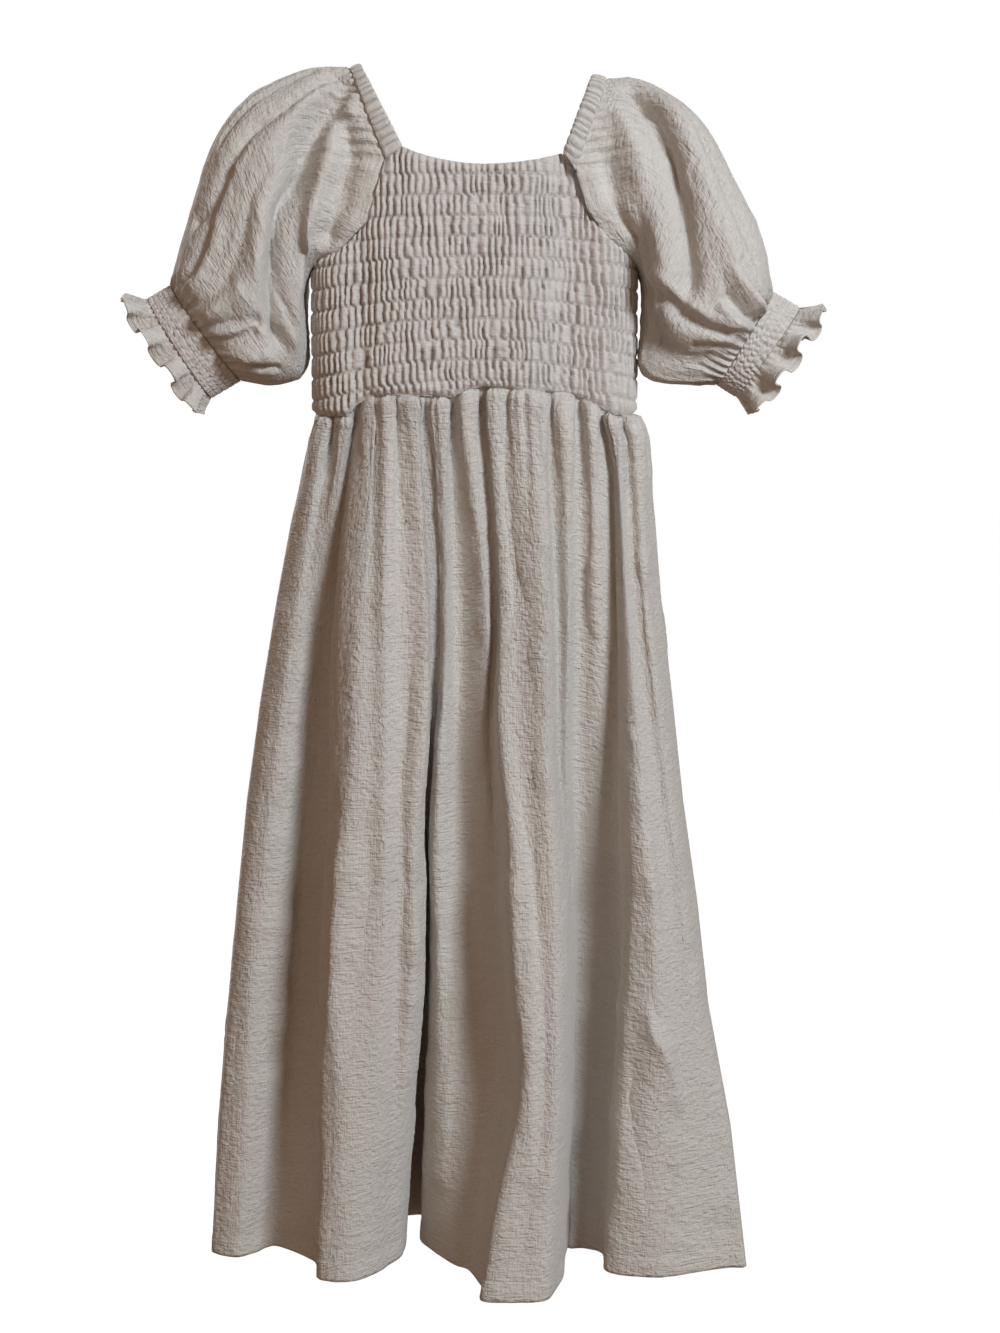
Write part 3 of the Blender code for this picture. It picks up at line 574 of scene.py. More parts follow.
# Fine bubbles, threads across and threads down. Columns: size across, size down, share of the depth.
FINE_RELIEF = (
    (0.0046, 0.0040, 0.70),
    (0.0120, 0.0014, 0.35),
    (0.0014, 0.0120, 0.30),
)
RELIEF_DETAIL = 2.0
# Slubs and flecks. Columns: size across, size down, detail.
SLUB_GRAIN = (0.020, 0.0014, 3.0)
FLECK_GRAIN = (0.0010, 0.0022, 2.0)
SLUB_SHARES = (0.90, 1.10)
FLECK_RANGE = {"From Min": 0.35, "From Max": 0.65, "To Min": 0.75, "To Max": 1.1}
FLECK_SHARE = 0.35
THREAD_COLOUR = (0.62, 0.60, 0.56)
THREAD_TWIST = 900.0
THREAD_RELIEF = 0.0001

# Soft lamps. Columns: name, place, where it points, size, power, colour.
LAMPS = (
    ("key", (1.6, -2.1, 1.0), (0.0, 0.0, -0.45), 0.8, 80.0, (0.86, 0.935, 1.0)),
    ("fill", (-1.2, -2.8, 0.2), (0.0, 0.0, -0.5), 2.2, 10.0, (1.0, 0.80, 0.62)),
    ("back_key", (-1.7, 2.3, 0.9), (0.0, 0.0, -0.5), 1.0, 80.0, (0.88, 0.94, 1.0)),
    ("back_fill", (1.4, 2.8, 0.1), (0.0, 0.0, -0.5), 2.2, 10.0, (1.0, 0.84, 0.70)),
)
SKY_COLOUR = (1.0, 0.60, 0.40, 1.0)
SKY_STRENGTH = 0.17
STAGE_RADIUS = 9.0
FLOOR_CORNERS = 96
DOME_SEGMENTS = 64
DOME_RINGS = 32
PLAIN_ROUGHNESS = 0.9

CAMERA_PLACE = (0.0185, -1.6, -0.2211)
CAMERA_PITCH = 8.2
CAMERA_LENS = 56.12
CAMERA_SENSOR = 36.0
FLOOR_Z = -1.25


def smooth_curve(at, knots, values):
    """Values read at the given places from a smooth curve that passes through the knots."""
    knots = np.asarray(knots, float)
    values = np.asarray(values, float)
    at = np.clip(np.asarray(at, float), knots[0], knots[-1])
    slopes = np.gradient(values, knots, axis=0)
    left = np.clip(np.searchsorted(knots, at, side="right") - 1, 0, len(knots) - 2)
    width = knots[left + 1] - knots[left]
    t = (at - knots[left]) / width
    shape = (-1,) + (1,) * (values.ndim - 1)
    t = t.reshape(shape)
    width = width.reshape(shape)
    return (
        (2 * t**3 - 3 * t**2 + 1) * values[left]
        + (t**3 - 2 * t**2 + t) * width * slopes[left]
        + (3 * t**2 - 2 * t**3) * values[left + 1]
        + (t**3 - t**2) * width * slopes[left + 1]
    )


def ease(share):
    share = np.clip(share, 0, 1)
    return share * share * (3 - 2 * share)


def bell(distance, reach):
    """1 in the middle, and almost nothing at twice the reach."""
    return np.exp(-((distance / reach) ** 2))


def rounded(wave, power):
    """The wave raised to a power, with its sign kept."""
    return np.sign(wave) * np.abs(wave) ** power


def unit(vectors):
    vectors = np.asarray(vectors, float)
    return vectors / np.linalg.norm(vectors, axis=-1, keepdims=True)


def running_total(steps):
    return np.concatenate([[0], np.cumsum(steps)])


def run_along(points):
    """How far along a line of points each one lies."""
    return running_total(np.linalg.norm(np.diff(points, axis=0), axis=-1))


def read_along(at, run, points):
    """Points read at the given distances along a line."""
    return np.stack([np.interp(at, run, points[:, axis]) for axis in range(3)], axis=-1)


def cloth_places(across, down):
    """Pairs of places on the flat cloth, one for each point of a grid."""
    return np.stack(np.broadcast_arrays(across, down), axis=-1)


def noise(across, down, size_across, size_down, seed):
    """Smooth random relief between -1 and 1, with bumps of about the given size."""
    lattice = np.random.default_rng(seed).uniform(-1, 1, (NOISE_LATTICE, NOISE_LATTICE))
    x = np.asarray(across, float) / size_across
    y = np.asarray(down, float) / size_down
    column = np.floor(x).astype(int)
    row = np.floor(y).astype(int)
    right = ease(x - column)
    below = ease(y - row)
    corners = [
        lattice[(row + dr) % NOISE_LATTICE, (column + dc) % NOISE_LATTICE]
        for dr in (0, 1)
        for dc in (0, 1)
    ]
    upper = corners[0] * (1 - right) + corners[1] * right
    lower = corners[2] * (1 - right) + corners[3] * right
    return upper * (1 - below) + lower * below


def crinkle(across, down, seed, strength=1.0):
    """The cloth's own bubbled relief, stronger in some stretches of warp and weft than in others."""
    warp = noise(across, 0.0, WARP_STRETCH, 1.0, seed + 5)
    weft = noise(0.0, down, 1.0, WEFT_STRETCH, seed + 6)
    stretch = 1 + STRETCH_SHARE * warp + STRETCH_SHARE * weft
    return strength * stretch * sum(
        height * noise(across, down, wide, tall, seed + number)
        for number, (wide, tall, height) in enumerate(CRINKLE_SIZES)
    )


def grid_normals(grid, closed):
    """Outward unit normals of a grid whose rows run down and whose columns run around."""
    if closed:
        around = np.roll(grid, -1, axis=1) - np.roll(grid, 1, axis=1)
    else:
        around = np.gradient(grid, axis=1)
    down = np.gradient(grid, axis=0)
    return unit(np.cross(down, around))


def grid_faces(index, closed=False, turned=False):
    """Faces of a grid of point numbers. Numbers that repeat make triangles, or no face."""
    if closed:
        index = np.concatenate([index, index[:, :1]], axis=1)
    quads = np.stack([index[:-1, :-1], index[1:, :-1], index[1:, 1:], index[:-1, 1:]], axis=-1)
    faces = []
    for corners in quads.reshape(-1, 4).tolist():
        face = [c for k, c in enumerate(corners) if c != corners[k - 1]]
        if len(face) > 2:
            faces.append(face[::-1] if turned else face)
    return faces


def join_chains(first, second, first_at, second_at, turned=False):
    """Triangles between two rows of point numbers, paired by how far along each point lies."""
    faces = []
    a = b = 0
    while a < len(first) - 1 or b < len(second) - 1:
        step_first = b == len(second) - 1 or (
            a < len(first) - 1 and first_at[a + 1] <= second_at[b + 1]
        )
        if step_first:
            faces.append([int(first[a]), int(first[a + 1]), int(second[b])])
            a += 1
        else:
            faces.append([int(first[a]), int(second[b + 1]), int(second[b])])
            b += 1
    return [face[::-1] for face in faces] if turned else faces


def add_mesh(name, points, faces, material):
    """A smooth mesh that rides on the body."""
    mesh = bpy.data.meshes.new(name)
    mesh.from_pydata(np.asarray(points).tolist(), [], faces)
    mesh.materials.append(material)
    mesh.shade_smooth()
    obj = bpy.data.objects.new(name, mesh)
    bpy.context.scene.collection.objects.link(obj)
    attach(obj, BODY)
    return obj


def add_piece(node, points, faces, cloth_uv, material, painted_shade=None):
    """A mesh in place of a node of the part, with its place on the flat cloth kept as a UV map.

    The last argument says how deep each point lies between two puckers, from 0 to 1; it is kept on the
    mesh for the cotton to paint shade there.
    """
    obj = add_mesh(node + "_cloth", points, faces, material)
    mesh = obj.data
    corners = np.zeros(len(mesh.loops), int)
    mesh.loops.foreach_get("vertex_index", corners)
    layer = mesh.uv_layers.new(name=CLOTH_MAP)
    layer.data.foreach_set("uv", np.asarray(cloth_uv)[corners].ravel())
    # Painted shade: how deep each point lies between puckers, for the cotton to darken its colour.
    if painted_shade is not None:
        depth = mesh.attributes.new(PAINTED_SHADE_VALUE, "FLOAT", "POINT")
        depth.data.foreach_set("value", np.ascontiguousarray(painted_shade, np.float32).ravel())
    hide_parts(node)
    return obj


def every_second(count, closed):
    """Every second number of a row, with the last one kept on an open row."""
    picked = np.arange(0, count, 2)
    if not closed and picked[-1] != count - 1:
        picked = np.append(picked, count - 1)
    return picked


def whole_row(row, closed):
    """A row of point numbers, back to its first one where it is closed."""
    return np.append(row, row[0]) if closed else row


def cloth_shell(node, form, lift, closed, cloth_uv, material, painted_shade=None):
    """A closed wall: the form raised by lift outside, and the plain form a cloth's depth further in."""
    normals = grid_normals(form, closed)
    outer = form + lift[..., None] * normals
    rows, columns = form.shape[:2]
    pick_rows = every_second(rows, False)
    pick_columns = every_second(columns, closed)
    picked = np.ix_(pick_rows, pick_columns)
    inner = (form - CLOTH * normals)[picked]
    index = np.arange(rows * columns).reshape(rows, columns)
    inside = np.arange(inner[..., 0].size).reshape(inner.shape[:2]) + rows * columns
    faces = grid_faces(index, closed) + grid_faces(inside, closed, turned=True)
    column_at = np.arange(columns + closed)
    inner_at = np.append(pick_columns, columns) if closed else pick_columns
    for edge in (0, -1):
        ends = (whole_row(index[edge], closed), whole_row(inside[edge], closed))
        faces += join_chains(*ends, column_at, inner_at, turned=edge == -1)
    if not closed:
        row_at = np.arange(rows)
        for edge in (0, -1):
            faces += join_chains(index[:, edge], inside[:, edge], row_at, pick_rows, turned=edge == 0)
    points = np.concatenate([outer.reshape(-1, 3), inner.reshape(-1, 3)])
    uv = np.concatenate([cloth_uv.reshape(-1, 2), cloth_uv[picked].reshape(-1, 2)])
    # Painted shade on the outside only, none on the inner face.
    if painted_shade is not None:
        painted_shade = np.concatenate([painted_shade.ravel(), np.zeros(inner[..., 0].size)])
    return add_piece(node, points, faces, uv, material, painted_shade)


def bodice_depth(z):
    share = (np.asarray(z) - BODICE_NECK_Z) / (BODICE_WAIST_Z - BODICE_NECK_Z)
    return BODICE_NECK_DEPTH + (BODICE_WAIST_DEPTH - BODICE_NECK_DEPTH) * share


def side_share(x):
    """How far out from the middle of the bodice a place lies, from 0 to 1 at the side seam."""
    return np.clip(np.abs(np.asarray(x) - BODICE_CENTRE_X) / BODICE_HALF_WIDTH, 0, 1)


def bodice_out(x, z):
    """How far the bodice stands out at a place across it, from its rounded section."""
    out = bodice_depth(z) * (1 - side_share(x) ** SECTION_POWER) ** (1 / SECTION_POWER)
    return np.maximum(out, SEAM_GAP / 2)


def bodice_points(x, z, lift):
    """Points of the front bodice, raised by lift along the section's normal."""
    x, z, lift = np.broadcast_arrays(x, z, lift)
    out = bodice_out(x, z)
    across = (x - BODICE_CENTRE_X) / BODICE_HALF_WIDTH
    power = SECTION_POWER - 1
    normal_x = rounded(across, power) / BODICE_HALF_WIDTH
    normal_out = (out / bodice_depth(z)) ** power / bodice_depth(z)
    length = np.hypot(normal_x, normal_out)
    side = np.abs(across) > SEAM_SHARE
    normal_x = np.where(side, np.sign(across), normal_x / length)
    normal_out = np.where(side, 0.0, normal_out / length)
    return np.stack([x + lift * normal_x, -(out + lift * normal_out), z], axis=-1)


def bodice_run():
    """Places across the bodice and how far along its section each lies."""
    angle = np.linspace(-math.pi / 2, math.pi / 2, SECTION_SAMPLES)
    x = BODICE_CENTRE_X + BODICE_HALF_WIDTH * rounded(np.sin(angle), 2 / SECTION_POWER)
    out = bodice_out(x, BODICE_WAIST_Z)
    return x, running_total(np.hypot(np.diff(x), np.diff(out)))


def table_line(table, x):
    line = np.array(table) * MM
    return np.interp(x, line[:, 0], line[:, 1])


def droop_slope(x):
    """How much more the sides of the bodice drop than its middle, for each metre down."""
    return WAIST_DROOP * side_share(x) ** 2 / (DROOP_FROM_Z - WAIST_CENTRE_Z)


def level_of(x, z):
    """The level of a place if the stitched rows ran straight across."""
    slope = droop_slope(x)
    return np.where(z < DROOP_FROM_Z, (z + slope * DROOP_FROM_Z) / (1 + slope), z)


def height_of(x, level):
    """The height of a place at a level, where the stitched rows droop to the sides."""
    return level + droop_slope(x) * np.minimum(level - DROOP_FROM_Z, 0)


def shirring(run, level, pitch, row_pitch, first_row, seed):
    """Ridges of gathered cloth, drawn in at each stitched row and shifted from band to band. 0 to 1."""
    band = (first_row - level) / row_pitch
    number = np.floor(band - 0.5).astype(int)
    turn = ease((band - 0.5 - number - 0.5) / BAND_TURN + 0.5)
    off_row = band - np.round(band)
    phase = run / pitch
    for step, share in ((0, 1 - turn), (1, turn)):
        own = (number + step) * BAND_STEP
        stagger = BAND_STAGGER * ((number + step) % 2)
        shift = sum(
            amount * noise(run, own, size * pitch, 1.0, seed + seed_step)
            for amount, size, seed_step in PUCKER_DRIFT
        )
        phase = phase + share * (shift + stagger)
    lean = PUCKER_LEAN * noise(run, number * LEAN_STEP, PUCKER_LEAN_SIZE * pitch, 1.0, seed + 4)
    wobble_wide, wobble_tall = PUCKER_WOBBLE_SIZE
    wobble = noise(run, level, wobble_wide * pitch, wobble_tall * row_pitch, seed + 1)
    phase = phase + lean * off_row + PUCKER_WOBBLE * wobble
    across_step, down_step = VALLEY_STEPS
    valley = noise(np.round(phase) * across_step, number * down_step, 1.0, 1.0, seed + 2)
    depth = VALLEY_DEPTH + VALLEY_SPREAD * valley
    ridge = 1 - depth * (1 - np.abs(np.sin(math.pi * phase)) ** PUCKER_POWER)
    drawn = bell(np.abs(off_row), STITCH_WIDTH_SHARE)
    return ridge * (1 - STITCH_PINCH * drawn) - STITCH_DENT * drawn


def painted_shade_share(ridge):
    """How deep a place lies between two puckers, from 0 to 1, as the share of painted shade in its colour.
    """
    return np.clip(1 - ridge, 0, 1) ** PAINTED_SHADE_POWER


def clipped_rows(levels, top, bottom):
    """Levels of a grid of level rows, held between an upper and a lower edge."""
    level = np.repeat(np.asarray(levels)[:, None], len(top), axis=1)
    level = np.where(level > top - SNAP, top, level)
    return np.where(level < bottom + SNAP, bottom, level)


def clipped_index(level):
    """Point numbers of a clipped grid, where rows that lie on each other share one point."""
    new = np.ones(level.shape, bool)
    new[1:] = level[1:] != level[:-1]
    number = np.cumsum(new.T.ravel()).reshape(new.T.shape).T - 1
    row, column = np.nonzero(new.T)[::-1]
    return number, (row, column)


def bodice_hollows(x):
    return sum(lift * MM * bell(x - place * MM, width * MM) for place, width, lift in BODICE_HOLLOWS)


def edge_height(share):
    """How much of a pucker's height is left near an edge, over the given share of the way in."""
    return EDGE_HEIGHT_SHARE + (1 - EDGE_HEIGHT_SHARE) * ease(share)


def bodice_relief(places, level, top, bottom, side_fade, seed):
    """Height of the puckers and the crinkle over a panel, and the ridges of the puckers."""
    edge_fade = edge_height((top - level) / EDGE_REACH) * ease((level - bottom) / EDGE_REACH)
    ridge = shirring(places[None, :], level, PUCKER_PITCH, SHIRR_PITCH, SHIRR_FIRST_Z, seed)
    lift = SEAM_HEIGHT + PUCKER_HEIGHT * ridge * side_fade * edge_fade
    return lift + crinkle(places[None, :], level, seed + 7, BODICE_CRINKLE), ridge


def panel_faces(index, inside, outer_at, inner_at, outer, inner):
    """Faces of a shirred panel: its outer and inner grids, and the walls that join them at the edges."""
    faces = grid_faces(index) + grid_faces(inside, turned=True)
    for edge in (0, -1):
        faces += join_chains(index[edge], inside[edge], outer_at, inner_at, turned=edge == -1)
    for edge in (0, -1):
        chain = np.unique(index[:, edge])
        depths = (-outer[chain, 2], -inner[:, edge, 2])
        faces += join_chains(chain, inside[:, edge], *depths, turned=edge == 0)
    return faces


def bodice_panel(name, side_y, seed, material):
    """A shirred panel: puckers outside, a plain face inside. side_y is -1 in front, 1 behind."""
    x, run = bodice_run()
    count = int(round(run[-1] / PUCKER_PITCH)) * PUCKER_CELLS
    places = np.linspace(0, run[-1], count + 1)
    columns = np.interp(places, run, x)
    top = level_of(columns, table_line(UPPER_EDGE, columns))
    bottom = level_of(columns, table_line(WAIST_LINE, columns) + SEAM_GAP / 2)
    levels = np.arange(SHIRR_FIRST_Z, bottom.min() - BODICE_ROW, -BODICE_ROW)
    level = clipped_rows(levels, top, bottom)
    index, keep = clipped_index(level)

    side_fade = ease(np.minimum(places, run[-1] - places) / PUCKER_SIDE_FADE)
    sunk = bodice_hollows(columns) * side_fade
    lift, ridge = bodice_relief(places, level, top, bottom, side_fade, seed)
    outer = bodice_points(columns[None, :], height_of(columns, level), lift + sunk)[keep]
    outer_uv = cloth_places(places[None, :], level)[keep]

    plain = every_second(count + 1, False)
    share = np.linspace(0, 1, INNER_ROWS)[:, None]
    inner_level = top[plain] * (1 - share) + bottom[plain] * share
    inner_height = height_of(columns[plain], inner_level)
    inner = bodice_points(columns[plain][None, :], inner_height, sunk[plain] - CLOTH)
    inner_uv = cloth_places(places[plain][None, :], inner_level)
    inside = np.arange(inner[..., 0].size).reshape(inner.shape[:2]) + len(outer)

    faces = panel_faces(index, inside, places, places[plain], outer, inner)
    points = np.concatenate([outer, inner.reshape(-1, 3)])
    points[:, 1] *= -side_y
    if side_y > 0:
        faces = [face[::-1] for face in faces]
    uv = np.concatenate([outer_uv, inner_uv.reshape(-1, 2)])
    # Painted shade in the hollows between puckers outside, none on the inner face.
    painted_shade = np.concatenate([painted_shade_share(ridge)[keep], np.zeros(inner[..., 0].size)])
    return add_piece(name, points, faces, uv, material, painted_shade)


def back_fold_lines(front_x, front_out):
    """Across and out of each back fold line at the four stations, between the side seams."""
    table = np.array(BACK_FOLDS, float) * MM
    spread = np.array(BACK_SPREAD_SHARES)
    x = table[:, :1] * (1 - spread) + table[:, 1:2] * spread
    middle = (front_x[0] + front_x[-1]) / 2
    half = (front_x[-1] - front_x[0]) / 2
    share = np.clip(np.abs(x - middle) / half, 0, 1)
    depth = np.array(BACK_DEPTHS) * MM * (1 - share**SECTION_POWER) ** (1 / SECTION_POWER)
    seam_out = (front_out[0] + front_out[-1]) / 2
    lift = table[:, 2:] * np.array(BACK_LIFT_SHARES)
    return x, seam_out * share**SECTION_POWER - depth - lift


def pulled_to_sides(across, z, line_x, front_x):
    """Shifts a fold line by its share of the side outline's own curve."""
    table = np.array(SIDE_PROFILE)[::-1] * MM
    knots = -np.array(STATION_Z) * MM
    middle = (front_x[0] + front_x[-1]) / 2
    half = (front_x[-1] - front_x[0]) / 2
    for column, edge, sign in ((1, front_x[0], LEFT), (2, front_x[-1], RIGHT)):
        share = np.clip((line_x - middle) / half * sign, 0, 1) ** SIDE_PULL_POWER
        shift = np.interp(z, table[:, 0], table[:, column]) - smooth_curve(-z, knots, edge)
        across = across + shift * smooth_curve(-z, knots, share)
    return across


def skirt_line(line_x, line_out, turn, front_x):
    """A fold line from the waist seam to the hem. turn is 1 in front, -1 behind and 0 at a side."""
    seam_x = line_x[0] if turn else BODICE_CENTRE_X + BODICE_HALF_WIDTH * np.sign(line_x[0])
    seam_z = float(table_line(WAIST_LINE, seam_x))
    seam_out = turn * (float(bodice_out(seam_x, seam_z)) + WAIST_EASE)
    knots = -np.array(STATION_Z) * MM
    z = seam_z + (HEM_Z - seam_z) * np.linspace(0, 1, SKIRT_ROWS) ** SKIRT_ROW_SPREAD
    puff = np.sin(math.pi / 2 * np.clip((seam_z - z) / PUFF_DROP, 0, 1))
    across = pulled_to_sides(smooth_curve(-z, knots, line_x), z, line_x, front_x)
    across = seam_x + (across - seam_x) * puff
    outward = seam_out + (smooth_curve(-z, knots, line_out) - seam_out) * puff
    shoulder = bell(seam_z - z - SHOULDER_DROP, SHOULDER_REACH)
    rise = SHOULDER_RISE * shoulder * ease((seam_z - z) / SHOULDER_REACH)
    return np.stack([across, -outward, z + rise], axis=-1)


def skirt_lines():
    """Points of every fold line of the skirt, rows down and lines round from the left side seam."""
    table = np.array([row[1:] for row in FRONT_FOLDS], float) * MM
    front_x, front_out = table[:, 0::2], table[:, 1::2]
    back_x, back_out = back_fold_lines(front_x, front_out)
    turns = [0] + [1] * (len(front_x) - 2) + [0] + [-1] * len(back_x)
    x = np.concatenate([front_x, back_x])
    out = np.concatenate([front_out, back_out])
    lines = [skirt_line(*row, front_x) for row in zip(x, out, turns)]
    return np.stack(lines, axis=1), len(front_x)


def fit_to_waist(form):
    """Moves the top of the skirt onto the lower edge of the bodice, corners included."""
    top = form[0]
    z = table_line(WAIST_LINE, top[:, 0])
    out = bodice_out(top[:, 0], z) + bodice_hollows(top[:, 0]) + WAIST_EASE
    edge = np.stack([top[:, 0], np.where(top[:, 1] < 0, -out, out), z], axis=-1)
    return form + (edge - top) * bell(top[:, 2] - form[..., 2], WAIST_FIT_REACH)[..., None]


def facing(form):
    """1 on the columns at the front of the skirt, and -1 on those behind."""
    return np.where(form[:1, :, 1] < 0, 1, -1)


def skirt_form():
    """The smooth skirt: a closed ring of columns, and each column's place round the cloth."""
    lines, front_count = skirt_lines()
    total = lines.shape[1]
    wrapped = np.concatenate([lines[:, -2:], lines, lines[:, :2]], axis=1)
    steps = np.linalg.norm(np.diff(wrapped, axis=1), axis=-1)[SKIRT_ROWS // 2:].mean(axis=0)
    run = running_total(steps)
    run -= run[2]
    seam_run = run[2 + front_count - 1]
    end_run = run[2 + total]
    places = np.concatenate([
        np.linspace(0, seam_run, SKIRT_COLUMNS + 1)[:-1],
        np.linspace(seam_run, end_run, SKIRT_COLUMNS + 1)[:-1],
    ])
    form = smooth_curve(places, run, wrapped.transpose(1, 0, 2)).transpose(1, 0, 2)
    turn = facing(form)
    for x, z, reach_across, reach_down, shift in SKIRT_SWAYS:
        near_x = (turn * form[..., 0] - x * MM) / (reach_across * MM)
        near_z = (form[..., 2] - z * MM) / (reach_down * MM)
        form[..., 0] += turn * shift * MM * np.exp(-(near_x**2) - near_z**2)
    return fit_to_waist(form), places


def crease_lift(x, z):
    """Height of the creases over the front of the skirt, the same on its back, turned round."""
    lift = np.zeros(x.shape)
    for width, line in SKIRT_CREASES:
        across, height, level = (np.array(line)[::-1, k] * MM for k in (0, 2, 1))
        centre = np.interp(z, level, across)
        tall = np.interp(z, level, height, left=0.0)
        lift += tall * np.exp(-((np.abs(x - centre) / (width * MM)) ** CREASE_POWER))
    return lift


def gather_lift(x, down):
    """Cloth that swells between the valleys of the gathers, just under the waist seam."""
    valleys = np.array(GATHER_VALLEYS)
    share = np.interp(x, valleys[:, 0] * MM, np.arange(len(valleys)))
    depth = np.interp(x, valleys[:, 0] * MM, valleys[:, 1])
    swell = 1 - depth * (1 - np.sqrt(np.abs(np.sin(math.pi * share))))
    return GATHER_HEIGHT * swell * (1 - np.exp(-down / GATHER_RISE)) * np.exp(-down / GATHER_REACH)


def skirt_lift(form, places):
    """Gathers under the waist seam, creases, the hem's turned-up band and the cloth's crinkle."""
    down = form[:1, :, 2] - form[..., 2]
    turn = facing(form)
    seam_fade = ease(down / SEAM_FADE)
    gathers = gather_lift(turn * form[:1, :, 0], down)
    gathers += crease_lift(turn * form[..., 0], form[..., 2]) * seam_fade
    drift = noise(places, 0.0, SMALL_GATHER_DRIFT_SIZE, 1.0, SMALL_GATHER_SEED)
    phase = places / SMALL_GATHER_PITCH + SMALL_GATHER_DRIFT * drift
    small = np.exp(-down / SMALL_GATHER_REACH) * seam_fade
    gathers += SMALL_GATHER_HEIGHT * small * np.cos(2 * math.pi * phase)
    across = places[None, :]
    drape = sum(height * noise(across, down, wide, tall, seed) for wide, tall, height, seed in SKIRT_DRAPE)
    to_hem = form[..., 2] - HEM_Z
    band = HEM_LIFT * ease((HEM_WIDTH - to_hem) / HEM_EDGE + 0.5)
    dent = HEM_DENT * bell(to_hem - HEM_WIDTH, HEM_DENT_WIDTH)
    pull = HEM_PULL * noise(across, down, *HEM_PULL_SIZE, HEM_PULL_SEED) * np.exp(-to_hem / HEM_PULL_REACH)
    relief = crinkle(across, down, SKIRT_CRINKLE_SEED)
    return gathers + drape * ease(down / DRAPE_FADE) + band - dent + pull + relief


def hem_stitches(name, surface, normals, material):
    """A row of short stitches along the top of the hem, laid on the surface of a skirt panel."""
    line, out = (
        np.stack([
            read_along(HEM_Z + STITCH_RISE, surface[::-1, column, 2], grid[::-1, column])
            for column in range(surface.shape[1])
        ])
        for grid in (surface, normals)
    )
    run = run_along(line)
    points, faces = [], []
    for start in np.arange(STITCH_PITCH, run[-1] - STITCH_PITCH, STITCH_PITCH):
        centre = read_along(start + np.array(STITCH_STEPS) * STITCH_LENGTH, run, line)
        normal = unit(read_along(start, run, out))
        across = unit(np.cross(centre[-1] - centre[0], normal))
        centre = centre + STITCH_THICKNESS / 2 * normal
        sides = (across, normal, -across, -normal)
        index = len(points) + np.arange(len(centre) * len(sides)).reshape(-1, len(sides))
        for place, thick in zip(centre, STITCH_FULLNESS):
            points += [place + STITCH_THICKNESS * thick * side for side in sides]
        faces += grid_faces(index, closed=True)
        faces += [index[0].tolist(), index[-1].tolist()[::-1]]
    add_mesh(name, points, faces, material)


def skirt_panels(material, thread):
    """The front and back of the skirt, each with its row of hem stitches."""
    form, places = skirt_form()
    lift = skirt_lift(form, places)
    total = form.shape[1]
    uv = cloth_places(places[None, :], form[..., 2] - form[:1, :, 2])
    spans = {
        "skirt_front": np.arange(SKIRT_COLUMNS + 1),
        "skirt_back": np.arange(SKIRT_COLUMNS, total + 1) % total,
    }
    panels = {}
    for name, span in spans.items():
        piece = form[:, span].copy()
        for edge, inwards in ((0, 1), (-1, -2)):
            piece[:, edge] += SEAM_GAP / 2 * unit(piece[:, inwards] - piece[:, edge])
        number = np.arange(len(span))
        raised = lift[:, span] * ease(np.minimum(number, number[::-1]) / SIDE_FADE_COLUMNS)
        panels[name] = cloth_shell(name, piece, raised, False, uv[:, span], material)
        normals = grid_normals(piece, False)
        hem_stitches(name + "_hem_stitches", piece + raised[..., None] * normals, normals, thread)
    return panels


def casing_edge(ends, angle):
    """An edge of a neck casing, arched from the shoulder top (angle 0) down to the neck corner."""
    top_x, top_z, end_x, end_z = np.array(ends) * MM
    drop = 1 - np.cos(angle)
    x = top_x + (end_x - top_x) * drop
    z = top_z + (end_z - top_z) * drop
    out = bodice_out(end_x, end_z) * np.sin(angle)
    return np.stack([x, -out, z], axis=-1)


def ruches(place, share, turn, own):
    """Swell of the ruches along and round a casing, and their ridges."""
    seed = own.seed + CASING_SEED
    phase = place + RUCHE_DRIFT * noise(place, 0.0, RUCHE_DRIFT_SIZE, 1.0, seed)
    phase += RUCHE_WOBBLE * noise(place, np.sin(turn)[None, :], 1.0, RUCHE_WOBBLE_SIZE, seed + 1)
    ridge = np.abs(np.sin(math.pi * phase)) ** RUCHE_POWER
    full = 1 + RUCHE_SPREAD * noise(np.floor(phase) * RUCHE_STEP, 0.0, 1.0, 1.0, seed + 2)
    end_fade = edge_height(np.minimum(share, 1 - share) * CASING_RUCHES)
    return own.ruche_height * ridge * full * end_fade[:, None], ridge


def neck_casing(name, own, material):
    """A ruched casing over the shoulder, from the front neck corner to the back one."""
    angle = np.linspace(-math.pi / 2, math.pi / 2, CASING_RUCHES * CASING_CELLS + 1)
    inner = casing_edge(own.casing_inner, angle)
    outer = casing_edge(own.casing_outer, angle)
    middle = (inner + outer) / 2
    half = (outer - inner) / 2
    along = np.gradient(middle, axis=0)
    normal = unit(np.cross(along, half)) * own.sign
    run = run_along(middle)
    share = run / run[-1]
    turn = 2 * math.pi * np.arange(CASING_SIDES) / CASING_SIDES
    slant = (unit(along) * half).sum(axis=1)[:, None] * np.cos(turn) / run[-1]
    swell, ridge = ruches((share[:, None] + slant) * CASING_RUCHES, share, turn, own)
    flat = rounded(np.cos(turn), CASING_SQUARENESS)[None, :]
    rise = rounded(np.sin(turn), CASING_SQUARENESS)[None, :]
    points = (
        middle[:, None]
        + half[:, None] * flat[..., None]
        + normal[:, None] * ((CASING_THICKNESS + swell) * rise)[..., None]
        + unit(half)[:, None] * (NECK_EDGE_SWELL * swell * flat * (flat < 0))[..., None]
    )
    index = np.arange(points[..., 0].size).reshape(points.shape[:2])
    faces = grid_faces(index, closed=True, turned=own.sign == RIGHT)
    caps = [index[0].tolist(), index[-1].tolist()[::-1]]
    faces += [cap[::-1] for cap in caps] if own.sign == RIGHT else caps
    across = turn / (2 * math.pi) * 4 * np.linalg.norm(half, axis=-1).mean()
    uv = cloth_places(across[None, :], run[:, None]).reshape(-1, 2)
    # The hollows between the ruches get painted shade in their colour.
    return add_piece(name, points.reshape(-1, 3), faces, uv, material, painted_shade_share(ridge))


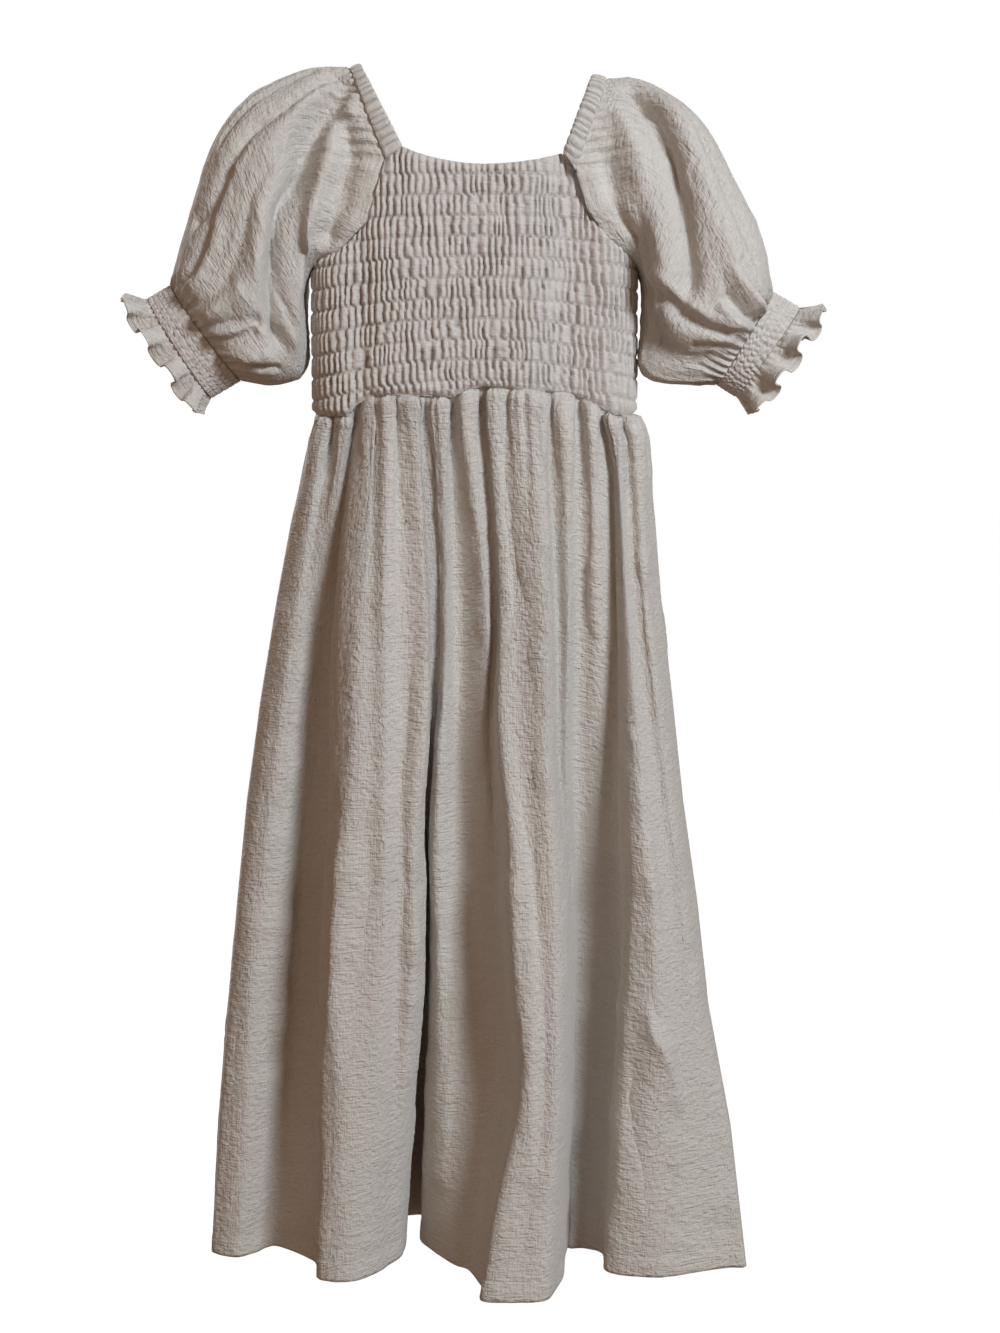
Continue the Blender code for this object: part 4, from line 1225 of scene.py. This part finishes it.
def armhole_half(own, cells):
    """The sleeve's front seam edge: down the casing, then down the raglan to the underarm."""
    casing_cells = round(cells * CASING_HALF_SHARE)
    angle = np.linspace(0, math.pi / 2, casing_cells + 1)[:-1]
    neck = casing_edge(own.casing_inner, angle)
    casing = casing_edge(own.casing_outer, angle)
    x, run = bodice_run()
    corner = np.interp(UPPER_EDGE[own.raglan_top][0] * MM, x, run)
    underarm = run[0] if own.sign == LEFT else run[-1]
    columns = np.interp(np.linspace(corner, underarm, cells - casing_cells + 1), run, x)
    top = table_line(UPPER_EDGE, columns)
    raglan = bodice_points(columns, top, RAGLAN_LIFT)
    bodice_normal = unit(raglan - bodice_points(columns, top, 0.0))
    along = np.gradient(raglan, axis=0)
    away = np.concatenate([
        CASING_OVERLAP * unit(casing - neck),
        -own.sign * RAGLAN_GAP * unit(np.cross(along, bodice_normal)),
    ])
    half = np.concatenate([casing, raglan]) + away
    half[-1] = raglan[-1] + (own.sign * UNDERARM_CLEARANCE, 0, UNDERARM_CLEARANCE / 2)
    half[[0, -1], 1] = 0.0
    return half


def armhole_ring(own, count):
    """The sleeve's whole seam edge, in the same order round as the sections below it."""
    front = armhole_half(own, count // 2)
    back = front[-2:0:-1] * (1, -1, 1)
    ring = np.concatenate([front, back])
    return ring if own.sign == LEFT else ring * (1, -1, 1)


def section_ring(row, side, count):
    """A rounded section between its outer and inner ends."""
    outer_x, outer_z, inner_x, inner_z, depth, forward = np.array(row) * MM
    angle = np.linspace(0, 2 * math.pi, count, endpoint=False)
    blend_out = (1 + np.cos(angle)) / 2
    x = inner_x + (outer_x - inner_x) * blend_out
    z = inner_z + (outer_z - inner_z) * blend_out
    out = rounded(np.sin(angle), SLEEVE_FULLNESS)
    return np.stack([x, side * depth * out - forward, z], axis=-1)


def tube_form(first, last, side, shares, count):
    """A tube between two sections of the sleeve, one ring for each share of the way down."""
    shares = shares[:, None]
    rows = np.array(first) * (1 - shares) + np.array(last) * shares
    return np.stack([section_ring(row, side, count) for row in rows])


def girths(form):
    """Length of each ring of a tube."""
    return np.linalg.norm(np.roll(form, -1, axis=1) - form, axis=-1).sum(axis=1)


def tube_uv(form):
    """Place on the flat cloth of each point of a tube: round it, and down it."""
    down = running_total(np.linalg.norm(np.diff(form, axis=0), axis=-1).mean(axis=1))
    across = np.arange(form.shape[1]) / form.shape[1] * girths(form).mean()
    return cloth_places(across[None, :], -down[:, None])


def distance_to_line(points, line):
    """Shortest distance of each point to a line of straight stretches."""
    nearest = np.full(points.shape[:-1], np.inf)
    for start, end in zip(line[:-1], line[1:]):
        along = end - start
        share = np.clip((points - start) @ along / (along @ along), 0, 1)
        gap = np.linalg.norm(points - start - share[..., None] * along, axis=-1)
        nearest = np.minimum(nearest, gap)
    return nearest


def fold_lift(steps, around, folds):
    """Height of the large folds over a sleeve, the same on its front and its back half."""
    scale = np.array([FOLD_STEP_LENGTH, 1.0])
    front_share = np.minimum(around, 1 - around)
    places = np.stack(np.meshgrid(steps, front_share, indexing="ij"), axis=-1) * scale
    lift = np.zeros(places.shape[:-1])
    for height, width, line in folds:
        points = np.array(line) * scale
        smooth = smooth_curve(np.linspace(0, len(line) - 1, FOLD_SAMPLES), range(len(line)), points)
        lift += height * MM * bell(distance_to_line(places, smooth), width)
    return lift


def gather_wave(gathers, waves, drift, seed):
    """Uneven waves round a sleeve, with the given number of waves to each gather."""
    sway = drift * noise(gathers, 0.0, GATHER_DRIFT_SIZE, 1.0, seed)
    return np.cos(2 * math.pi * (gathers * waves + sway))


def sleeve_gathers(steps, around, seed):
    """Gathers of a sleeve where it meets the cuff, and where it meets the casing."""
    cuff_share = np.clip((steps - steps[-1] + CUFF_GATHER_STEPS) / CUFF_GATHER_STEPS, 0, 1) ** 2
    cuff_wave = gather_wave(around * CUFF_GATHERS, 1, CUFF_GATHER_DRIFT, seed)
    casing_share = np.exp(-steps / CASING_GATHER_STEPS) * ease(steps / CASING_GATHER_START)
    half_share = 2 * np.minimum(around, 1 - around)
    on_casing = ease((CASING_HALF_SHARE + CASING_GATHER_MARGIN - half_share) / CASING_GATHER_FADE)
    casing_wave = gather_wave(around * CASING_GATHERS, 2, CASING_GATHER_DRIFT, seed + 1)
    gathers = CUFF_GATHER_HEIGHT * cuff_share[:, None] * cuff_wave
    return gathers + CASING_GATHER_HEIGHT * casing_share[:, None] * (on_casing * casing_wave)


def sleeve(name, own, material):
    """A puff sleeve: its large folds, gathers at the casing and the cuff, and creases between."""
    rings = [armhole_ring(own, SLEEVE_POINTS)]
    rings += [section_ring(row, own.sign, SLEEVE_POINTS) for row in own.rings]
    last = len(rings) - 1
    steps = np.linspace(0, last, SLEEVE_ROWS + 1)
    form = smooth_curve(steps, range(len(rings)), np.stack(rings))
    around = np.arange(SLEEVE_POINTS) / SLEEVE_POINTS
    fade = np.clip(steps / FOLD_FADE_STEPS, 0, 1) * np.clip(last - steps, 0, 1)
    folds_lift = fade[:, None] * fold_lift(steps, around, own.folds)
    form = form + folds_lift[..., None] * grid_normals(form, closed=True)

    down = run_along(form.mean(axis=1))[:, None]
    across = around[None, :] * girths(form).max()
    drape_wide, drape_tall, drape_height = SLEEVE_DRAPE
    drape = drape_height * noise(across, down, drape_wide, drape_tall, own.seed + 2)
    seam_fade = ease(np.minimum(steps, last - steps) / SLEEVE_SEAM_FADE)[:, None]
    gathers = sleeve_gathers(steps, around, own.seed)
    lift = (gathers + drape + crinkle(across, down, own.seed + 3)) * seam_fade
    piece = form.copy()
    piece[-1] += SEAM_GAP / 2 * unit(piece[-2] - piece[-1])
    return cloth_shell(name, piece, lift, True, cloth_places(across, -down), material)


def cuff(name, own, material):
    """A shirred cuff: rows of stitching with small puckers between them."""
    shares = np.linspace(0, 1, CUFF_CELLS + 1)
    form = tube_form(own.rings[-1], own.cuff_end, own.sign, shares, CUFF_POINTS)
    form[0] += SEAM_GAP / 2 * unit(form[1] - form[0])
    form[-1] += SEAM_GAP / 2 * unit(form[-2] - form[-1])
    around = np.arange(CUFF_POINTS) / CUFF_POINTS * CUFF_PUCKERS
    rows = -shares[:, None] * CUFF_ROWS
    ridge = shirring(around[None, :], rows, 1.0, 1.0, 0.0, own.seed + CUFF_SEED)
    lift = CUFF_LIFT + CUFF_PUCKER_HEIGHT * ridge
    # The hollows between the cuff's puckers get painted shade in their colour.
    return cloth_shell(name, form, lift, True, tube_uv(form), material, CUFF_PAINTED_SHADE * painted_shade_share(ridge))


def ruffle_shift(form, around):
    """How far each point of a ruffle would move if it lay at the waved edge."""
    table = np.array(RUFFLE_WAVES, float)
    padded = np.concatenate([table[-3:] - (1, 0, 0), table, table[:3] + (1, 0, 0)])
    waves = smooth_curve(around, padded[:, 0], padded[:, 1:])[None] * MM
    sideways = unit(np.roll(form[-1], -1, axis=0) - np.roll(form[-1], 1, axis=0))
    to_end = np.abs((2 * around + 0.5) % 1 - 0.5) / 2
    end_fade = 1 - bell(to_end, RUFFLE_END)
    sway = RUFFLE_SWING * np.sin(4 * math.pi * RUFFLE_LOBES * around) * end_fade
    outwards = waves[..., :1] * grid_normals(form, closed=True)
    return outwards + waves[..., 1:] * unit(form[-1] - form[0]) + sway[:, None] * sideways


def ruffle(name, own, material):
    """A ruffle: small gathers at the cuff that run together into larger waves at its edge."""
    shares = np.linspace(0, 1, RUFFLE_CELLS + 1)
    form = tube_form(own.cuff_end, own.ruffle_edge, own.sign, shares, RUFFLE_POINTS)
    form[0] += SEAM_GAP / 2 * unit(form[1] - form[0])
    uv = tube_uv(form)
    around = np.arange(RUFFLE_POINTS) / RUFFLE_POINTS
    form = form + shares[:, None, None] * ruffle_shift(form, around)
    turn = 2 * math.pi * around * RUFFLE_GATHERS
    swell = RUFFLE_GATHER_HEIGHT * np.exp(-shares / RUFFLE_GATHER_REACH)
    swell = swell * ease(shares / RUFFLE_GATHER_START)
    gathers = swell[:, None] * np.cos(turn)
    lift = gathers + crinkle(uv[..., 0], uv[..., 1], own.seed + RUFFLE_SEED, RUFFLE_CRINKLE)
    return cloth_shell(name, form, lift, True, uv, material)


def feed(tree, node, inputs):
    """Sets a node's inputs, each to a value or to what another node gives."""
    for name, source in inputs.items():
        if isinstance(source, bpy.types.NodeSocket):
            tree.links.new(source, node.inputs[name])
        else:
            node.inputs[name].default_value = source


def stretched_noise(tree, across_size, down_size, detail):
    """Noise on the flat cloth, with specks of the given size in metres."""
    place = tree.nodes.new("ShaderNodeUVMap")
    place.uv_map = CLOTH_MAP
    scale = tree.nodes.new("ShaderNodeMapping")
    feed(tree, scale, {"Vector": place.outputs["UV"], "Scale": (1 / across_size, 1 / down_size, 1.0)})
    grain = tree.nodes.new("ShaderNodeTexNoise")
    feed(tree, grain, {"Vector": scale.outputs["Vector"], "Scale": 1.0, "Detail": detail})
    return grain.outputs["Fac"]


def map_range(tree, value, ends):
    """The value moved to another range. ends names the ends that aren't 0 or 1."""
    node = tree.nodes.new("ShaderNodeMapRange")
    feed(tree, node, {"Value": value, **ends})
    return node.outputs["Result"]


def mixed_colour(tree, blend, factor, first, second):
    node = tree.nodes.new("ShaderNodeMix")
    node.data_type = "RGBA"
    node.blend_type = blend
    feed(tree, node, {"Factor": factor, "A": first, "B": second})
    return node.outputs["Result"]


def crinkle_cotton(slot, colour, bubble_depth):
    """Cream slubby crepe cotton: crinkle, woven threads, slubs, slight unevenness of colour, and painted
    shade in the hollows between puckers.
    """
    material = bpy.data.materials.new(slot + "_weave")
    material["slot"] = slot
    material.use_nodes = True
    tree = material.node_tree
    relief = None
    for across_size, down_size, share in FINE_RELIEF:
        bump = tree.nodes.new("ShaderNodeBump")
        height = stretched_noise(tree, across_size, down_size, RELIEF_DETAIL)
        feed(tree, bump, {"Distance": share * bubble_depth, "Strength": 1.0, "Height": height})
        if relief is not None:
            feed(tree, bump, {"Normal": relief})
        relief = bump.outputs["Normal"]
    dark, light = ((*[min(c * share, 1.0) for c in colour], 1.0) for share in SLUB_SHARES)
    slub = mixed_colour(tree, "MIX", stretched_noise(tree, *SLUB_GRAIN), dark, light)
    fleck = map_range(tree, stretched_noise(tree, *FLECK_GRAIN), FLECK_RANGE)
    flecked = mixed_colour(tree, "MULTIPLY", FLECK_SHARE, slub, fleck)
    # Painted shade: the colour darkened where the mesh marks the hollows between puckers.
    painted_shade = tree.nodes.new("ShaderNodeAttribute")
    painted_shade.attribute_name = PAINTED_SHADE_VALUE
    painted_shade_scale = map_range(tree, painted_shade.outputs["Fac"], {"To Min": 1.0, "To Max": 1.0 - PAINTED_SHADE_STRENGTH})
    painted_shade_colour = mixed_colour(tree, "MULTIPLY", 1.0, flecked, painted_shade_scale)
    shader = tree.nodes["Principled BSDF"]
    feed(tree, shader, {**COTTON_FINISH, "Normal": relief, "Base Color": painted_shade_colour})
    return material


def plain_material(name, colour, glow=0.0):
    material = bpy.data.materials.new(name)
    material.use_nodes = True
    feed(material.node_tree, material.node_tree.nodes["Principled BSDF"], {
        "Base Color": (*colour, 1.0),
        "Roughness": PLAIN_ROUGHNESS,
        "Emission Color": (1.0, 1.0, 1.0, 1.0),
        "Emission Strength": glow,
    })
    return material


def sewing_thread():
    """Pale cotton thread with a fine twist."""
    material = plain_material("sewing_thread", THREAD_COLOUR)
    tree = material.node_tree
    place = tree.nodes.new("ShaderNodeTexCoord")
    twist = tree.nodes.new("ShaderNodeTexWave")
    feed(tree, twist, {"Scale": THREAD_TWIST, "Vector": place.outputs["Object"]})
    relief = tree.nodes.new("ShaderNodeBump")
    feed(tree, relief, {"Distance": THREAD_RELIEF, "Height": twist.outputs["Fac"]})
    feed(tree, tree.nodes["Principled BSDF"], {"Normal": relief.outputs["Normal"]})
    return material


def stage():
    """A plain pale floor and an even pale backdrop all round."""
    bpy.ops.mesh.primitive_circle_add(
        vertices=FLOOR_CORNERS, radius=STAGE_RADIUS, fill_type="NGON", location=(0, 0, FLOOR_Z)
    )
    floor = bpy.context.object
    bpy.ops.mesh.primitive_uv_sphere_add(
        segments=DOME_SEGMENTS, ring_count=DOME_RINGS, radius=STAGE_RADIUS
    )
    dome = bpy.context.object
    for pale, name in ((floor, "floor"), (dome, "backdrop")):
        pale.name = name
        pale.data.materials.append(plain_material(name + "_paint", (0.0, 0.0, 0.0), 1.0))
        pale.visible_diffuse = False
        pale.visible_glossy = False
        pale.visible_shadow = False


def lights():
    """Soft lamps in front and behind, and a warm even sky."""
    for name, place, aim, size, power, colour in LAMPS:
        light = bpy.data.lights.new(name, "AREA")
        light.shape = "DISK"
        light.size = size
        light.energy = power
        light.color = colour
        obj = bpy.data.objects.new(name, light)
        obj.location = place
        obj.rotation_euler = (Vector(aim) - Vector(place)).to_track_quat("-Z", "Y").to_euler()
        bpy.context.scene.collection.objects.link(obj)
    world = bpy.data.worlds.new("studio")
    world.use_nodes = True
    background = world.node_tree.nodes["Background"]
    feed(world.node_tree, background, {"Color": SKY_COLOUR, "Strength": SKY_STRENGTH})
    bpy.context.scene.world = world
    bpy.context.scene.view_settings.view_transform = "Standard"


def camera():
    data = bpy.data.cameras.new("camera")
    data.sensor_width = CAMERA_SENSOR
    data.lens = CAMERA_LENS
    obj = bpy.data.objects.new("camera", data)
    obj.location = CAMERA_PLACE
    obj.rotation_euler = Matrix.Rotation(math.radians(90 - CAMERA_PITCH), 4, "X").to_euler()
    bpy.context.scene.collection.objects.link(obj)
    bpy.context.scene.camera = obj


def main():
    cloth, shirred, casing_cloth = (
        crinkle_cotton(slot, colour, bubble_depth) for slot, colour, bubble_depth in COTTONS
    )
    pieces = skirt_panels(cloth, sewing_thread())
    for name, (side_y, seed) in BODICE_PANELS.items():
        pieces[name] = bodice_panel(name, side_y, seed, shirred)
    makers = {
        "sleeve": (sleeve, cloth),
        "cuff": (cuff, shirred),
        "ruffle": (ruffle, cloth),
        "neck_casing": (neck_casing, casing_cloth),
    }
    for word, own in SIDES.items():
        for kind, (make, material) in makers.items():
            name = f"{kind}_{word}"
            pieces[name] = make(name, own, material)
    stage()
    lights()
    camera()


main()
